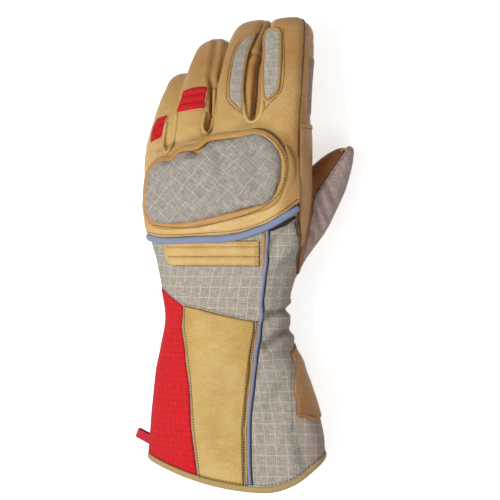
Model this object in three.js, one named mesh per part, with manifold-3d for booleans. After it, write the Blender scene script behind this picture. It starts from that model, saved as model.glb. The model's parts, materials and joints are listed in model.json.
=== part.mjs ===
// Duty glove, left hand: a leather and fabric gauntlet glove that lies palm down, half curled.
// Millimetres. +Y runs from the hem to the fingertips, +X to the thumb side, +Z out of the back.
import * as THREE from 'three';
import { mergeVertices } from 'three/addons/utils/BufferGeometryUtils.js';
import Module from 'manifold-3d';

const wasm = await Module();
wasm.setup();

// Driving dimensions
const WALL = 2.4;
const GAP = 0.3;
const PANEL = 1.3;
const FLAP = 2.4;
const BINDING = 1.2;
const BINDING_WIDTH = 4.5;
const PIPING = 2.1;
const HEM_LIFT = 1.9;
const BODY_SIDES = 24;
const BODY_LINING_SIDES = 18;
const STALL_SIDES = 12;
const STALL_LINING_SIDES = 8;
const ROLL_SIDES = 6;
const ROLL_STEPS = 1.6;
const CUFF_TOP = 190;
const PALM_TOP = 236;

// The outlines of the panels are drawn on a plane that faces a viewer on the thumb side
const VIEW_TURN = THREE.MathUtils.degToRad(24);
const VIEW_HEIGHT = 50;
const VIEW_TOP = 130;

// The cuff and the hand, as sections along the glove. wide and thick are the outer sizes,
// ulnar and radial say how square the little-finger side and the thumb side are.
const BODY_ROWS = [
  { y: -12, x: -1, z: 32, wide: 148, thick: 67, turn: 0, ulnar: 2.2, radial: 2.2 },
  { y: 40, x: -2.5, z: 31, wide: 142, thick: 66, turn: 0, ulnar: 2.2, radial: 2.2 },
  { y: 68, x: -4, z: 31, wide: 133, thick: 65, turn: 0, ulnar: 2.2, radial: 2.2 },
  { y: 94, x: -6.5, z: 33, wide: 119, thick: 60, turn: 0, ulnar: 2.3, radial: 2.3 },
  { y: 116, x: -8, z: 35, wide: 105, thick: 55, turn: 0, ulnar: 2.3, radial: 2.3 },
  { y: 132, x: -7.5, z: 38, wide: 99, thick: 51, turn: 0, ulnar: 2.3, radial: 2.4 },
  { y: 152, x: -6.5, z: 41, wide: 104, thick: 49, turn: 0, ulnar: 2.3, radial: 2.5 },
  { y: 176, x: -4.5, z: 44, wide: 116, thick: 48, turn: 0, ulnar: 2.4, radial: 2.6 },
  { y: 200, x: -3, z: 47, wide: 129, thick: 46, turn: -2, ulnar: 2.4, radial: 2.8 },
  { y: 226, x: -2.5, z: 49, wide: 135, thick: 44, turn: -6, ulnar: 2.4, radial: 3 },
  { y: 248, x: -2, z: 50, wide: 137, thick: 42, turn: -10, ulnar: 2.4, radial: 3 },
  { y: 262, x: -1.5, z: 50, wide: 135, thick: 38, turn: -12, ulnar: 2.4, radial: 3 },
  { y: 270, x: -1, z: 50, wide: 126, thick: 30, turn: -12, ulnar: 2.4, radial: 3 },
  { y: 274, x: -1, z: 50, wide: 110, thick: 16, turn: -12, ulnar: 2.4, radial: 3 },
];
const HEM = { lowest: 4, middle: 25.5, left: 22, right: 24, halfLeft: 98, halfRight: 48, power: 2 };

// The stalls: where each starts inside the hand, how far it reaches, its turn towards the thumb
// at the root and the tip, and its dip towards the floor at the root, the middle and the tip.
const STALLS = [
  { name: 'finger_index', x: 46, y: 250, z: 51, reach: 113, turnRoot: -2, turnTip: 0, dipRoot: 0, dipMid: 12,
    dipTip: 24, wide: 36, thick: 27, roll: 0, square: 3, seam: 34, tip: 17, blunt: 2.4, lean: 0 },
  { name: 'finger_middle', x: 6, y: 246, z: 52, reach: 127, turnRoot: 0, turnTip: 1, dipRoot: 2, dipMid: 22,
    dipTip: 49, wide: 35, thick: 26, roll: -3, square: 2.8, seam: 30, tip: 17, blunt: 2.4, lean: 0 },
  { name: 'finger_ring', x: -33, y: 240, z: 47, reach: 118, turnRoot: 0, turnTip: 7, dipRoot: 4, dipMid: 22,
    dipTip: 39, wide: 34, thick: 25, roll: -10, square: 2.6, seam: 29, tip: 16, blunt: 2.4, lean: 0 },
  { name: 'finger_little', x: -64, y: 232, z: 40, reach: 99, turnRoot: 2, turnTip: 13, dipRoot: 6, dipMid: 21,
    dipTip: 33, wide: 31, thick: 24, roll: -24, square: 2.5, seam: 28, tip: 15, blunt: 2.4, lean: 0 },
  { name: 'thumb', x: 22, y: 148, z: 30, reach: 129, turnRoot: 34, turnTip: 12, dipRoot: 6, dipMid: 6,
    dipTip: 0, wide: 37, thick: 31, roll: 10, square: 2.3, seam: 70, tip: 46, blunt: 1.35, lean: 17 },
];

// Materials
function finish(color, roughness) {
  return new THREE.MeshStandardMaterial({ color, roughness, metalness: 0 });
}
const tanLeather = finish(0xc9a060, 0.6);
const redFabric = finish(0xd32030, 0.8);
const greyFabric = finish(0xa8a090, 0.85);
const bluePiping = finish(0x7080b0, 0.7);
const tanBinding = finish(0xd8b478, 0.75);
const ribbedGrip = finish(0x8f8088, 0.8);

// Solids for cutting and joining
function solidOf(geometry) {
  const bare = geometry.index ? geometry : geometry.clone();
  bare.deleteAttribute('normal');
  bare.deleteAttribute('uv');
  const merged = mergeVertices(bare, 1e-4);
  const vertProperties = new Float32Array(merged.attributes.position.array);
  const triVerts = new Uint32Array(merged.index.array);
  const solid = new wasm.Manifold(new wasm.Mesh({ numProp: 3, vertProperties, triVerts }));
  if (solid.volume() > 0) {
    return solid;
  }
  return new wasm.Manifold(new wasm.Mesh({ numProp: 3, vertProperties, triVerts: triVerts.reverse() }));
}

function geometryOf(solid) {
  const mesh = solid.getMesh();
  const geometry = new THREE.BufferGeometry();
  geometry.setAttribute('position', new THREE.BufferAttribute(mesh.vertProperties, 3));
  geometry.setIndex(new THREE.BufferAttribute(mesh.triVerts, 1));
  geometry.computeVertexNormals();
  return geometry;
}

// A closed skin through rings that all have the same number of points
function closedLoft(rings) {
  const sides = rings[0].length;
  const points = rings.flat();
  const index = [];
  for (let r = 0; r < rings.length - 1; r += 1) {
    for (let k = 0; k < sides; k += 1) {
      const a = r * sides + k;
      const b = r * sides + (k + 1) % sides;
      index.push(a, b, b + sides, a, b + sides, a + sides);
    }
  }
  const last = (rings.length - 1) * sides;
  for (let k = 1; k < sides - 1; k += 1) {
    index.push(0, k + 1, k);
    index.push(last, last + k, last + k + 1);
  }
  const geometry = new THREE.BufferGeometry().setFromPoints(points);
  geometry.setIndex(index);
  return solidOf(geometry);
}

// One section: a rounded box whose two sides can differ in squareness
function sectionRing({ centre, across, up, wide, thick, ulnar, radial, sides }) {
  const ring = [];
  for (let k = 0; k < sides; k += 1) {
    const turn = (k / sides) * 2 * Math.PI;
    const power = 2 / (radial + (ulnar - radial) * (1 - Math.cos(turn)) / 2);
    const u = Math.sign(Math.cos(turn)) * Math.abs(Math.cos(turn)) ** power * wide / 2;
    const v = Math.sign(Math.sin(turn)) * Math.abs(Math.sin(turn)) ** power * thick / 2;
    ring.push(centre.clone().addScaledVector(across, u).addScaledVector(up, -v));
  }
  return ring;
}

function bodyLoft(grow) {
  const rings = BODY_ROWS.map((row, i, all) => {
    const turn = THREE.MathUtils.degToRad(row.turn);
    const endGrow = i === all.length - 1 ? grow : 0;
    return sectionRing({
      centre: new THREE.Vector3(row.x, row.y + endGrow, row.z),
      across: new THREE.Vector3(Math.cos(turn), -Math.sin(turn), 0),
      up: new THREE.Vector3(0, 0, 1),
      wide: row.wide + 2 * grow,
      thick: row.thick + 2 * grow,
      ulnar: row.ulnar,
      radial: row.radial,
      sides: grow < 0 ? BODY_LINING_SIDES : BODY_SIDES,
    });
  });
  return closedLoft(rings);
}

// A spot on the middle line of a stall: its place and frame at a distance from the root
function spotAt(stall, distance) {
  const step = 2.5;
  const place = new THREE.Vector3(stall.x, stall.y, stall.z);
  const [across, ahead, up] = [new THREE.Vector3(), new THREE.Vector3(), new THREE.Vector3()];
  for (let gone = 0; gone < distance; gone += step) {
    const part = gone / stall.reach;
    const early = Math.min(part * 2, 1);
    const late = Math.min(Math.max(part * 2 - 1, 0), 1);
    const dip = stall.dipRoot + (stall.dipMid - stall.dipRoot) * early + (stall.dipTip - stall.dipMid) * late;
    const turn = stall.turnRoot + (stall.turnTip - stall.turnRoot) * part;
    const angles = [-dip, stall.roll, -turn].map((angle) => THREE.MathUtils.degToRad(angle));
    const frame = new THREE.Matrix4().makeRotationFromEuler(new THREE.Euler(...angles, 'ZXY'));
    frame.extractBasis(across, ahead, up);
    place.addScaledVector(ahead, Math.min(step, distance - gone));
  }
  return { place, across, ahead, up };
}

function stallLoft(stall, grow) {
  const reach = stall.reach + grow;
  const tip = stall.tip + grow;
  const stops = [0.01, 0.3, 0.52, 0.76, 1].map((t) => t * (reach - tip));
  stops.push(...[0.4, 0.7, 0.9, 1].map((t) => reach - tip + t * tip));
  const rings = stops.map((at) => {
    const spot = spotAt(stall, at);
    const past = Math.max(0, (at - (reach - tip)) / tip);
    const root = Math.min(1, 0.8 + at / stall.reach);
    const round = root * Math.max(0.16, (1 - Math.min(past, 1) ** stall.blunt) ** (1 / 2));
    return sectionRing({
      centre: spot.place.clone().addScaledVector(spot.across, past > 0 ? stall.lean * (1 - round) : 0),
      across: spot.across,
      up: spot.up,
      wide: (stall.wide + 2 * grow) * round,
      thick: (stall.thick + 2 * grow) * round,
      ulnar: stall.square,
      radial: stall.square,
      sides: grow < 0 ? STALL_LINING_SIDES : STALL_SIDES,
    });
  });
  return closedLoft(rings);
}

// A straight-sided solid over an outline, from one height to another, with each corner put in place
function prism(outline, low, high, placeAt) {
  const shape = new THREE.Shape(outline.map(([a, b]) => new THREE.Vector2(a, b)));
  const geometry = new THREE.ExtrudeGeometry(shape, { depth: 1, bevelEnabled: false });
  const corners = geometry.attributes.position;
  for (let i = 0; i < corners.count; i += 1) {
    const place = placeAt(corners.getX(i), corners.getY(i), low + corners.getZ(i) * (high - low));
    corners.setXYZ(i, place.x, place.y, place.z);
  }
  return solidOf(geometry);
}

// A point of the outline plane, at a height above the floor
function inView(u, v, height) {
  const x = (u + (height - VIEW_HEIGHT) * Math.sin(VIEW_TURN)) / Math.cos(VIEW_TURN);
  return new THREE.Vector3(x, v, height);
}

function asDrawn(x, y, z) {
  return new THREE.Vector3(x, y, z);
}

// What lies above the floor, with the hem end raised by the thickness of its binding
function aboveFloor(grow) {
  const outline = [
    [-60, HEM_LIFT - grow], [34, HEM_LIFT - grow], [46, -grow], [420, -grow], [420, 200], [-60, 200],
  ];
  return prism(outline, -200, 200, (y, z, x) => new THREE.Vector3(x, y, z));
}

// What the hem's curved cut takes away, seen as the viewer sees it: the two sides are shorter
function belowHem(raise) {
  const edge = [];
  for (let u = -105; u <= 105; u += 15) {
    const side = u < HEM.middle ? (HEM.middle - u) / HEM.halfLeft : (u - HEM.middle) / HEM.halfRight;
    const rise = u < HEM.middle ? HEM.left : HEM.right;
    edge.push([u, HEM.lowest + raise + rise * Math.min(side, 1.2) ** HEM.power]);
  }
  return prism([[105, -60], ...edge.reverse(), [-105, -60]], -50, 200, inView);
}

// The whole glove's form, grown outwards by a distance or shrunk inwards
const grownBodies = new Map();
function grownBody(grow) {
  if (!grownBodies.has(grow)) {
    let whole = bodyLoft(grow);
    for (const stall of STALLS) {
      whole = whole.add(stallLoft(stall, grow));
    }
    grownBodies.set(grow, whole.intersect(aboveFloor(grow)));
  }
  return grownBodies.get(grow);
}

// Everything past a plane across a stall
function pastSeam(stall, seam) {
  const spot = spotAt(stall, seam);
  const size = 200;
  const block = new THREE.BoxGeometry(size, size, size);
  block.translate(0, size / 2, 0);
  block.applyMatrix4(new THREE.Matrix4().makeBasis(spot.across, spot.ahead, spot.up));
  block.translate(spot.place.x, spot.place.y, spot.place.z);
  return solidOf(block);
}

const floorPlane = aboveFloor(0);
const cavity = grownBody(-WALL);
const shell = grownBody(0).subtract(cavity).subtract(belowHem(0));

// The stalls are parted from the hand at a seam just past the crotches
const seamShift = 1;
let handAndCuff = shell;
const stallSolids = [];
for (const stall of STALLS) {
  const zone = pastSeam(stall, stall.seam).intersect(stallLoft(stall, 0));
  const cleared = pastSeam(stall, stall.seam - seamShift).intersect(stallLoft(stall, GAP));
  const hand = bodyLoft(GAP);
  let solid = zone.subtract(cavity).intersect(floorPlane).subtract(hand);
  for (const other of stallSolids) {
    solid = solid.subtract(stallLoft(other.stall, GAP));
  }
  stallSolids.push({ stall, solid });
  handAndCuff = handAndCuff.subtract(cleared.subtract(bodyLoft(0)));
}

const cuffZone = prism([[-200, -60], [200, -60], [200, CUFF_TOP], [-200, CUFF_TOP]], -50, 200, asDrawn);
const handBottom = CUFF_TOP + GAP;
const handZone = prism([[-200, handBottom], [200, handBottom], [200, PALM_TOP], [-200, PALM_TOP]], -50, 200, asDrawn);
const knuckleBottom = PALM_TOP + GAP;
const knuckleZone = prism([[-200, knuckleBottom], [200, knuckleBottom], [200, 420], [-200, 420]], -50, 200, asDrawn);

// A smooth closed outline through a few corners
function curveThrough(corners, closed) {
  const places = corners.map(([u, v]) => new THREE.Vector3(u, v, 0));
  return new THREE.CatmullRomCurve3(places, closed, 'centripetal');
}

function smoothOutline(corners) {
  return curveThrough(corners, true).getPoints(corners.length).slice(0, -1).map((p) => [p.x, p.y]);
}

// A sewn-on piece: the layer between two distances from the skin, over an outline
function sewnPanel(outline, low, inner, outer) {
  const layer = grownBody(outer).subtract(grownBody(inner));
  return layer.intersect(prism(outline, low, VIEW_TOP, inView)).subtract(belowHem(BINDING_WIDTH + GAP));
}

// The skin as the viewer sees it: the first point under a point of the outline plane
const viewer = new THREE.Vector3(Math.sin(VIEW_TURN), 0, Math.cos(VIEW_TURN));
const skins = new Map();
function onSkin(u, v, lift, pull) {
  if (!skins.has(lift)) {
    skins.set(lift, new THREE.Mesh(geometryOf(grownBody(lift)), new THREE.MeshBasicMaterial()));
  }
  const ray = new THREE.Raycaster();
  for (let step = 0; step < 40; step += 1) {
    const part = step * 0.01;
    ray.set(inView(u + (pull[0] - u) * part, v + (pull[1] - v) * part, VIEW_TOP), viewer.clone().negate());
    const [hit] = ray.intersectObject(skins.get(lift));
    if (hit) {
      return hit.point;
    }
  }
  throw new Error('no skin under this point');
}

// Straight out of the skin, taken from the middle of the hand or cuff at that place
function outwards(point) {
  return new THREE.Vector3(point.x + 4, 0, point.z - 14).normalize();
}

// A crowned pad over an outline: low at its edge and full in the middle
function pillow(outline, lift, edge, crown) {
  const middle = [0, 1].map((k) => outline.reduce((sum, p) => sum + p[k], 0) / outline.length);
  const rounds = [1, 0.95, 0.82, 0.5, 0.14];
  const topRings = rounds.map((part) => outline.map(([u, v]) => {
    const spot = onSkin(middle[0] + (u - middle[0]) * part, middle[1] + (v - middle[1]) * part, lift, middle);
    const height = edge + (crown - edge) * Math.sqrt(1 - part ** 3);
    return spot.addScaledVector(outwards(spot), height);
  }));
  const bottomRings = [rounds[0], rounds.at(-1)].map((part) => outline.map(([u, v]) => {
    const spot = onSkin(middle[0] + (u - middle[0]) * part, middle[1] + (v - middle[1]) * part, lift, middle);
    return spot.addScaledVector(outwards(spot), -1);
  }));
  return closedLoft([...bottomRings.reverse(), ...topRings]).subtract(grownBody(lift));
}

// A rounded roll or cord that is sewn along a line on the skin
function rollAlong(line, lift, wide, high, closed) {
  const spots = curveThrough(line, closed).getPoints(Math.round(line.length * ROLL_STEPS));
  if (closed) {
    spots.pop();
  }
  const middle = [0, 1].map((k) => line.reduce((sum, p) => sum + p[k], 0) / line.length);
  const places = spots.map((p) => onSkin(p.x, p.y, lift, middle));
  const rings = places.map((place, i) => {
    const before = places[closed ? (i + places.length - 1) % places.length : Math.max(i - 1, 0)];
    const after = places[closed ? (i + 1) % places.length : Math.min(i + 1, places.length - 1)];
    const ahead = after.clone().sub(before).normalize();
    const up = outwards(place);
    const across = new THREE.Vector3().crossVectors(ahead, up).normalize();
    return Array.from({ length: ROLL_SIDES }, (_, k) => {
      const turn = (k / ROLL_SIDES) * 2 * Math.PI;
      return place.clone()
        .addScaledVector(across, Math.cos(turn) * wide / 2)
        .addScaledVector(up, Math.sin(turn) * high);
    });
  });
  const roll = closed ? closedRing(rings) : closedLoft(rings);
  return roll.subtract(grownBody(lift));
}

// A skin through rings that come back to the first one
function closedRing(rings) {
  const sides = rings[0].length;
  const count = rings.length;
  const index = [];
  for (let r = 0; r < count; r += 1) {
    for (let k = 0; k < sides; k += 1) {
      const a = r * sides + k;
      const b = r * sides + (k + 1) % sides;
      const up = ((r + 1) % count) * sides - r * sides;
      index.push(a, b, b + up, a, b + up, a + up);
    }
  }
  const geometry = new THREE.BufferGeometry().setFromPoints(rings.flat());
  geometry.setIndex(index);
  return solidOf(geometry);
}

const group = new THREE.Group();
function addPiece(name, solid, material) {
  const parts = solid.decompose().sort((a, b) => b.volume() - a.volume());
  const mesh = new THREE.Mesh(geometryOf(parts[0]), material);
  mesh.name = name;
  group.add(mesh);
}

// The highest loose part of a panel is the one on the back
function highest(solid) {
  return solid.decompose().sort((a, b) => b.boundingBox().max[2] - a.boundingBox().max[2])[0];
}

// The shells
addPiece('hand_shell', handAndCuff.intersect(handZone), tanLeather);
addPiece('knuckle_shell', handAndCuff.intersect(knuckleZone), tanLeather);
addPiece('gauntlet', handAndCuff.intersect(cuffZone), greyFabric);
for (const { stall, solid } of stallSolids) {
  addPiece(stall.name, solid, tanLeather);
}

// The binding folds over the hem, with the shell in its slot
const bindingOut = BINDING + GAP;
const bindingBlock = grownBody(bindingOut)
  .subtract(grownBody(-WALL - bindingOut))
  .intersect(belowHem(BINDING_WIDTH))
  .subtract(belowHem(-bindingOut));
const bindingSlot = grownBody(GAP).subtract(grownBody(-WALL - GAP)).subtract(belowHem(-GAP));
addPiece('hem_binding', bindingBlock.subtract(bindingSlot), tanBinding);

// The panels of the cuff
const REST_CLEAR = 8;
const panelOut = GAP + PANEL;
const redEdge = [
  [-33.8, 142], [-34.6, 125.4], [-32.3, 107.9], [-29.3, 80.6], [-27, 48.6], [-22.4, 11.4], [-21, -20],
];
const redOutline = [[-54, 156], ...redEdge, [-90, -20], [-90, 160], [-60, 158]];
addPiece('red_panel', sewnPanel(redOutline, 18, GAP, panelOut), redFabric);
const leatherLeft = redEdge.map(([u, v]) => [u + 0.6, v]).reverse();
const leatherRight = [[20.5, 131], [20.5, 127], [16.6, 101.8], [14.2, 77.5], [11.6, 48.6], [12.4, 6], [12.6, -20]];
const leatherOutline = [...leatherLeft, [-21.3, 139.8], [0, 134.5], ...leatherRight];
addPiece('leather_panel', sewnPanel(leatherOutline, 40, GAP, panelOut), tanLeather);
const patchOutline = [[49, 108], [50.2, 57.8], [95, 57], [95, 142], [58, 142]];
addPiece('palm_patch', sewnPanel(patchOutline, REST_CLEAR, GAP, panelOut), tanLeather);

// The wrist band: two padded ribs on a strip
const ribLeft = -50;
const ribRight = 24;
const ribBands = [[186.2, 179.4], [178.4, 172.2]];
const ribInset = 0.8;
const bandOutline = [
  [ribLeft, 186.2], [ribRight, 186.2], [ribRight, 172.2], [ribLeft + 9, 172.2], [ribLeft + 3, 176],
];
let ribs = sewnPanel(bandOutline, 40, GAP, panelOut);
for (const [high, low] of ribBands) {
  const ribOutline = [
    [ribLeft + 4, high - ribInset], [ribRight - 1, high - ribInset],
    [ribRight - 1, low + ribInset], [ribLeft + 9, low + ribInset],
  ];
  ribs = ribs.add(sewnPanel(ribOutline, 40, GAP + 0.6, panelOut + 1.1));
}
addPiece('wrist_ribs', highest(ribs), tanLeather);

// The leather over the back of the hand, with the guard and its roll on it
const flapOut = GAP + FLAP;
const flapEdge = [
  [-90, 197.5], [-64.6, 196.3], [-47, 193.6], [-19, 194.6], [8.4, 196.8], [26.6, 202.9], [40.7, 210.9], [51.6, 219.2],
];
const flapTop = [
  [51.9, 262], [44, 270], [22, 270], [0, 266], [-16, 262], [-40, 252], [-60, 248], [-90, 246],
];
addPiece('back_panel', sewnPanel([...flapEdge, ...flapTop], 42, GAP, flapOut), tanLeather);

const guardOutline = smoothOutline([
  [-61, 226], [-58, 240], [-50, 248], [-42, 249], [-33, 255.5], [-22, 257], [-13, 262.5], [-2, 264], [10, 265],
  [22, 266.5], [31, 262], [37, 253], [38.5, 244], [36.5, 233], [31, 221.5], [13, 215.5], [-8, 210.5], [-30, 206.5],
  [-50, 206.5], [-59, 212],
]);
addPiece('knuckle_guard', pillow(guardOutline, flapOut + GAP, 2, 8.5), greyFabric);

// The roll is cut back all round the guard, by the seam between the two
const rimLine = [
  [-64, 226], [-61, 243], [-51, 251.5], [-42, 252.5], [-34, 259], [-22, 260.5], [-13, 266], [-2, 267.5], [10, 268.5],
  [23, 270], [33.5, 265], [40.5, 254.5], [42, 244], [40, 232], [33, 218.5], [14, 212], [-7, 207], [-30, 203],
  [-51, 203], [-62, 210],
];
const guardMiddle = [-16, 236];
const seamOutline = guardOutline.map(([u, v]) => [
  guardMiddle[0] + (u - guardMiddle[0]) * 1.008, guardMiddle[1] + (v - guardMiddle[1]) * 1.016,
]);
const rim = rollAlong(rimLine, flapOut + GAP, 5, 3.4, true).subtract(pillow(seamOutline, flapOut + GAP, 2.4, 9));
addPiece('guard_rim', rim, tanLeather);

const backPipingLine = [...flapEdge.slice(1, -1).map(([u, v]) => [u + 0.6, v - 2.7]), [49.5, 213.8]];
addPiece('back_piping', rollAlong(backPipingLine, GAP, 2 * PIPING, 3, false), bluePiping);

const sidePipingLine = [
  [29, 188], [27.2, 169.5], [24.6, 142.9], [24.4, 126.9], [20.8, 105.6], [18.2, 79], [16, 55], [16, 27.4], [17, 12],
];
const sidePiping = rollAlong(sidePipingLine, GAP, 3.4, 2.6, false).subtract(belowHem(BINDING_WIDTH + GAP));
addPiece('side_piping', sidePiping, bluePiping);

// The strip down the thumb side of the index finger, with its ribbed grip
const stripOutline = [
  [57.8, 360], [57.8, 342.8], [55.7, 314], [53.7, 285], [52.6, 275], [52.5, 214], [51.5, 182], [60.5, 190],
  [63.5, 224], [68, 232], [68, 362],
];
addPiece('side_strip', highest(sewnPanel(stripOutline, 38, GAP, panelOut)), tanLeather);
const gripOutline = [[60.5, 327], [60.2, 285], [72, 285], [72, 327]];
const gripIn = panelOut + GAP;
addPiece('grip_strip', highest(sewnPanel(gripOutline, 34, gripIn, gripIn + 0.8)), ribbedGrip);

// The fabric on the back of the thumb and the side of the hand
const gussetOutline = [
  [65.6, 224], [89, 258], [110, 262], [110, 160], [62, 162], [59, 176], [62.5, 195], [65, 209.8],
];
addPiece('thumb_gusset', sewnPanel(gussetOutline, REST_CLEAR, GAP, panelOut), greyFabric);

// The padded patches on the fingers
const PATCHES = [
  { name: 'index_patch', material: greyFabric, low: 40, outline: [[31.7, 349.6], [38.8, 348.8], [39.8, 325],
    [37.5, 302], [28.9, 295.6], [26.8, 312], [28.1, 343.5]] },
  { name: 'middle_patch', material: greyFabric, low: 26, outline: [[21.3, 348.1], [12, 345], [5.5, 332.9],
    [1.5, 308.2], [1.5, 298.3], [10.6, 288.8], [11.9, 300], [14.2, 326]] },
  { name: 'ring_patch', material: redFabric, low: 40, outline: [[-35, 307], [-24, 309.6], [-16, 308.9],
    [-18.2, 292.6], [-39.2, 289.6], [-39.2, 294.4]] },
  { name: 'little_patch', material: redFabric, low: 36, outline: [[-80, 288], [-47.5, 288.8], [-51.4, 271.6],
    [-61, 267.8], [-80, 262]] },
];
for (const { name, material, low, outline } of PATCHES) {
  addPiece(name, highest(sewnPanel(outline, low, GAP, panelOut)), material);
}

// The small loop at the hem: a folded tape that stands out of the little-finger side
const LOOP = { long: 12, wide: 7, thick: 4.2, tape: 1.1 };
const loopShape = new THREE.Shape();
const loopRadius = LOOP.thick / 2;
loopShape.moveTo(0, -loopRadius);
loopShape.lineTo(LOOP.long - loopRadius, -loopRadius);
loopShape.absarc(LOOP.long - loopRadius, 0, loopRadius, -Math.PI / 2, Math.PI / 2, false);
loopShape.lineTo(0, loopRadius);
const loopHole = new THREE.Path();
const holeRadius = loopRadius - LOOP.tape;
loopHole.moveTo(LOOP.tape, -holeRadius);
loopHole.absarc(LOOP.long - loopRadius, 0, holeRadius, -Math.PI / 2, Math.PI / 2, false);
loopHole.lineTo(LOOP.tape, holeRadius);
loopShape.holes.push(loopHole);
const loopSteps = { depth: LOOP.wide, bevelEnabled: false, curveSegments: 5 };
const loopGeometry = new THREE.ExtrudeGeometry(loopShape, loopSteps);
loopGeometry.translate(0, 0, -LOOP.wide / 2);
loopGeometry.rotateX(Math.PI / 2);
loopGeometry.rotateZ(THREE.MathUtils.degToRad(157));
loopGeometry.translate(-72, 34, 36);
addPiece('hanging_loop', solidOf(loopGeometry).subtract(grownBody(panelOut + GAP)), redFabric);

// The origin is under the middle of the glove, on the surface that it lies on
const box = new THREE.Box3().setFromObject(group);
group.position.set(-(box.min.x + box.max.x) / 2, -(box.min.y + box.max.y) / 2, -box.min.z);

export default group;
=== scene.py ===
# %% [markdown]
# A left-hand work gauntlet glove, padded over the knuckles and flared at the cuff, lies palm
# down on a pale floor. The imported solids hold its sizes. This script gives it its looks: the
# leather and the checked fabric, the padding, the rolled edges, the piping and the thread.

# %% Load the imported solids
import json
import math
import bmesh
import bpy
from mathutils import Matrix, Vector, geometry, kdtree, noise
from mathutils.bvhtree import BVHTree

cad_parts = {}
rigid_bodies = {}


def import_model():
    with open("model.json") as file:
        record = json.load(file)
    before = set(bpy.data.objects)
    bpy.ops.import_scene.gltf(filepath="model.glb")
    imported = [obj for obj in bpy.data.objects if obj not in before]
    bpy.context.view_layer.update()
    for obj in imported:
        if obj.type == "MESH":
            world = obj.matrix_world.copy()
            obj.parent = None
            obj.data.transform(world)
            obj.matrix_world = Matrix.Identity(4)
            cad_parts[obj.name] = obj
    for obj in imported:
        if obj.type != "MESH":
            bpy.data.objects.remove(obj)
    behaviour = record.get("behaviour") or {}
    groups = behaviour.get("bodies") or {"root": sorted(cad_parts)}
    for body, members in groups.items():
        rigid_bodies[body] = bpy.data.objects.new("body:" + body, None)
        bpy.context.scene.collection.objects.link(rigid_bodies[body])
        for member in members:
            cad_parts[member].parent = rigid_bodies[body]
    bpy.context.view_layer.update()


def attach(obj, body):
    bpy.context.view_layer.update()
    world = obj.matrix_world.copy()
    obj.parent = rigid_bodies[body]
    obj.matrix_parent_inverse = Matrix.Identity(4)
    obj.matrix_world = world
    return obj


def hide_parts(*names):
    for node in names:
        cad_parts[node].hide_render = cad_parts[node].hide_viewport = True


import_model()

# %% [markdown]
# All shapes are worked out in millimetres on the glove's own axes: Y runs from the hem to the
# fingertips, X to the thumb side and Z out of the back. A finished mesh is then put in the
# frame, in metres, so that every object sits at the origin, unturned and unscaled.

# %% Sizes that the whole glove shares
MIDDLE_X = 2.353
MIDDLE_Y = 182.893
TO_FRAME = Matrix.Scale(0.001, 4) @ Matrix.Translation((MIDDLE_X * -1, MIDDLE_Y * -1, 0))
WALL = 2.2
VIEW_TURN = math.radians(24)
VIEW_HEIGHT = 50
TO_VIEWER = Vector((math.sin(VIEW_TURN), 0, math.cos(VIEW_TURN)))
ACROSS_VIEW = Vector((math.cos(VIEW_TURN), 0, -math.sin(VIEW_TURN)))
SEEN_MIDDLE = Vector((0, 0, VIEW_HEIGHT))


def clamped(value):
    return min(1, max(0.0, value))


def link_object(name, data):
    made = bpy.data.objects.new(name, data)
    bpy.context.scene.collection.objects.link(made)
    return made


print("the viewer looks from", round(math.degrees(VIEW_TURN)), "degrees towards the thumb side")

# %% [markdown]
# The photograph looks down on the glove from its thumb side, with the fingers up. The camera
# stands a little over a metre away with a long lens, so that the far edge isn't made small.

# %% Place the camera
CAMERA_AWAY = 1100
LOOK_AT = ACROSS_VIEW * 16.72 + Vector((0, 183.92, VIEW_HEIGHT))
camera_data = bpy.data.cameras.new("photo_camera")
camera_data.sensor_fit = "HORIZONTAL"
camera_data.sensor_width = 36
camera_data.lens = 104.2
camera = link_object("photo_camera", camera_data)
camera_turn = Matrix((ACROSS_VIEW, Vector((0, 1, 0)), TO_VIEWER)).transposed().to_4x4()
camera_place = TO_FRAME @ (LOOK_AT + TO_VIEWER * CAMERA_AWAY)
camera.matrix_world = Matrix.Translation(camera_place) @ camera_turn
bpy.context.scene.camera = camera
print("camera at", tuple(round(x, 3) for x in camera_place))

# %% [markdown]
# A helper makes each node of a material and links or sets its sockets in one line. An effect
# that more than one finish needs is a node group, built once with named inputs and outputs.

# %% Helpers for materials
def add_node(tree, kind, sockets=(), **settings):
    made = tree.nodes.new("ShaderNode" + kind)
    for key, value in settings.items():
        setattr(made, key, value)
    for socket, value in sockets:
        if isinstance(value, bpy.types.NodeSocket):
            tree.links.new(value, made.inputs[socket])
        else:
            made.inputs[socket].default_value = value
    return made


def start_effect(name, inputs, outputs):
    tree = bpy.data.node_groups.new(name, "ShaderNodeTree")
    for title, kind, value in inputs:
        socket = tree.interface.new_socket(title, in_out="INPUT", socket_type="NodeSocket" + kind)
        if value is not None:
            socket.default_value = value
    for title, kind in outputs:
        tree.interface.new_socket(title, in_out="OUTPUT", socket_type="NodeSocket" + kind)
    return tree, tree.nodes.new("NodeGroupInput"), tree.nodes.new("NodeGroupOutput")


def start_material(name, roughness, specular, sheen=0):
    material = bpy.data.materials.new(name)
    material.use_nodes = True
    tree = material.node_tree
    surface = tree.nodes["Principled BSDF"]
    surface.inputs["Roughness"].default_value = roughness
    surface.inputs["Specular IOR Level"].default_value = specular
    surface.inputs["Sheen Weight"].default_value = sheen
    return material, tree, surface


def blend_colors(tree, amount, low, high):
    return add_node(tree, "Mix", [(0, amount), (6, low), (7, high)], data_type="RGBA").outputs[2]


def sum_up(tree, how, first, second=0):
    return add_node(tree, "Math", [(0, first), (1, second)], operation=how).outputs[0]


def spread(tree, value, low, high, to_low=0.0, to_high=1.0, kind="LINEAR"):
    """A value between low and high is spread evenly from to_low to to_high."""
    sockets = [("Value", value), ("From Min", low), ("From Max", high), ("To Min", to_low),
               ("To Max", to_high)]
    return add_node(tree, "MapRange", sockets, interpolation_type=kind).outputs["Result"]


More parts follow.
